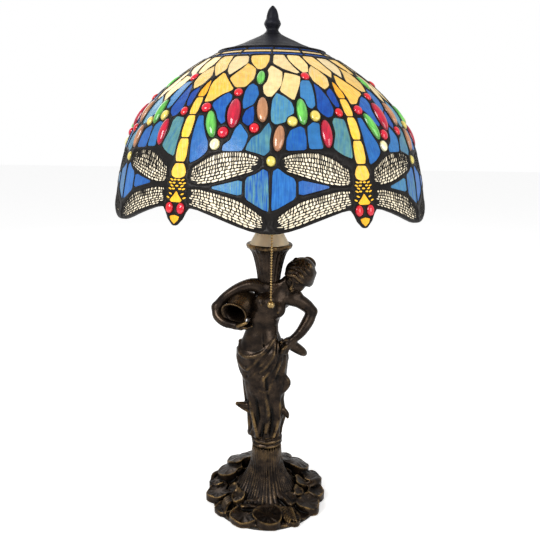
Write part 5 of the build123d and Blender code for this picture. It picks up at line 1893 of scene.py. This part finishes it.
# %% Plain finishes
def brushed_material(name, light, dark, roughness, stretch=(1.0, 1.0, 14.0), metallic=1.0):
    """Spun or brushed metal: fine rings round Z from noise stretched along the turning direction."""
    material, tree, shader = new_material(name)
    place = add(tree, "ShaderNodeTexCoord")
    squeeze = add(tree, "ShaderNodeMapping")
    squeeze.inputs["Scale"].default_value = stretch
    lines = add(tree, "ShaderNodeTexNoise", {"Scale": 260.0, "Detail": 3.0})
    hook(tree, (place, "Object", squeeze, "Vector"), (squeeze, 0, lines, "Vector"))
    group = add(tree, "ShaderNodeGroup", {"Size": 30.0}, node_tree=tarnish)
    cloudy = mix_colour(tree, group.outputs["Mask"], rgb(*light), rgb(*dark))
    colour = mix_colour(tree, lines.outputs["Fac"], cloudy, rgb(*light))
    tree.links.new(colour, shader.inputs["Base Color"])
    shader.inputs["Metallic"].default_value = metallic
    gloss = add(tree, "ShaderNodeMapRange", {"To Min": roughness - 0.06, "To Max": roughness + 0.1})
    hook(tree, (lines, "Fac", gloss, "Value"), (gloss, 0, shader, "Roughness"))
    scratch = add(tree, "ShaderNodeBump", {"Strength": 0.12, "Distance": 0.0002})
    hook(tree, (lines, "Fac", scratch, "Height"), (scratch, 0, shader, "Normal"))
    return material


def mottled_material(name, light, dark, roughness, size, bump, coat=0.0, sheen=0.0):
    """Non-metal with a cloudy colour and a fine grain: porcelain, phenolic, rubber or felt."""
    material, tree, shader = new_material(name)
    group = add(tree, "ShaderNodeGroup", {"Size": size, "Grain": 12 * size}, node_tree=tarnish)
    colour = mix_colour(tree, group.outputs["Mask"], rgb(*light), rgb(*dark))
    tree.links.new(colour, shader.inputs["Base Color"])
    fill(shader, {"Roughness": roughness, "Coat Weight": coat, "Sheen Weight": sheen})
    bumped(tree, shader, group, bump, 0.0004)
    return material


# the cone's pale colour is partly its own brushed champagne metal and partly painted light: lightened for the
# glow of the bulbs on it
champagne_and_painted_bulb_light = brushed_material("brushed_champagne_and_painted_bulb_light", (228, 216, 194), (206, 192, 166), 0.42, metallic=0.6)
cap_metal = brushed_material("bulb_cap_metal", (190, 190, 188), (160, 160, 158), 0.35)
porcelain = mottled_material("porcelain", (228, 222, 208), (214, 206, 190), 0.3, 40.0, 0.1, coat=0.6)
phenolic = mottled_material("black_phenolic", (24, 22, 21), (34, 30, 28), 0.32, 60.0, 0.2, coat=0.3)
rubber = mottled_material("rubber", (26, 26, 26), (38, 36, 35), 0.75, 80.0, 0.4)
felt = mottled_material("felt", (30, 26, 22), (42, 36, 30), 0.95, 120.0, 0.9, sheen=0.4)

# the cone wears the lightened champagne: painted light from the bulbs above it
dress("cone_spun", turned_mesh("cone_spun", cone_line, 128), "base", champagne_and_painted_bulb_light, ("cone_cap",))

frosted, tree, shader = new_material("frosted_bulb")
bulb_cloud = add(tree, "ShaderNodeTexNoise", {"Scale": 24.0, "Detail": 2.0})
bulb_place = add(tree, "ShaderNodeTexCoord")
hook(tree, (bulb_place, "Object", bulb_cloud, "Vector"))
bulb_colour = mix_colour(tree, bulb_cloud.outputs["Fac"], rgb(255, 246, 226), rgb(250, 236, 208))
tree.links.new(bulb_colour, shader.inputs["Base Color"])
tree.links.new(bulb_colour, shader.inputs["Emission Color"])
fill(shader, {"Emission Strength": 0.9, "Roughness": 0.45, "Coat Weight": 0.3})

# %% Finishes on the CAD nodes that stay
finish_of_slot = {
    "felt": felt, "cast_iron": iron, "bronze": dark_bronze, "brass": plain_brass, "steel": steel,
    "cone_metal": champagne_and_painted_bulb_light, "switch_case": phenolic, "insulator": porcelain, "rubber": rubber,
    "art_glass": opal_glass, "lead": solder, "bulb_glass": frosted, "bulb_cap": cap_metal,
}
slot_of_node = {row["node"]: row["material_slot"] for row in frame["record"]["subparts"]}
for node, solid in frame["nodes"].items():
    finish = finish_of_slot[slot_of_node[node]]
    for slot in solid.material_slots:
        slot.material = finish
    if not solid.material_slots:
        solid.data.materials.append(finish)
print("finished", len(frame["nodes"]), "CAD nodes")
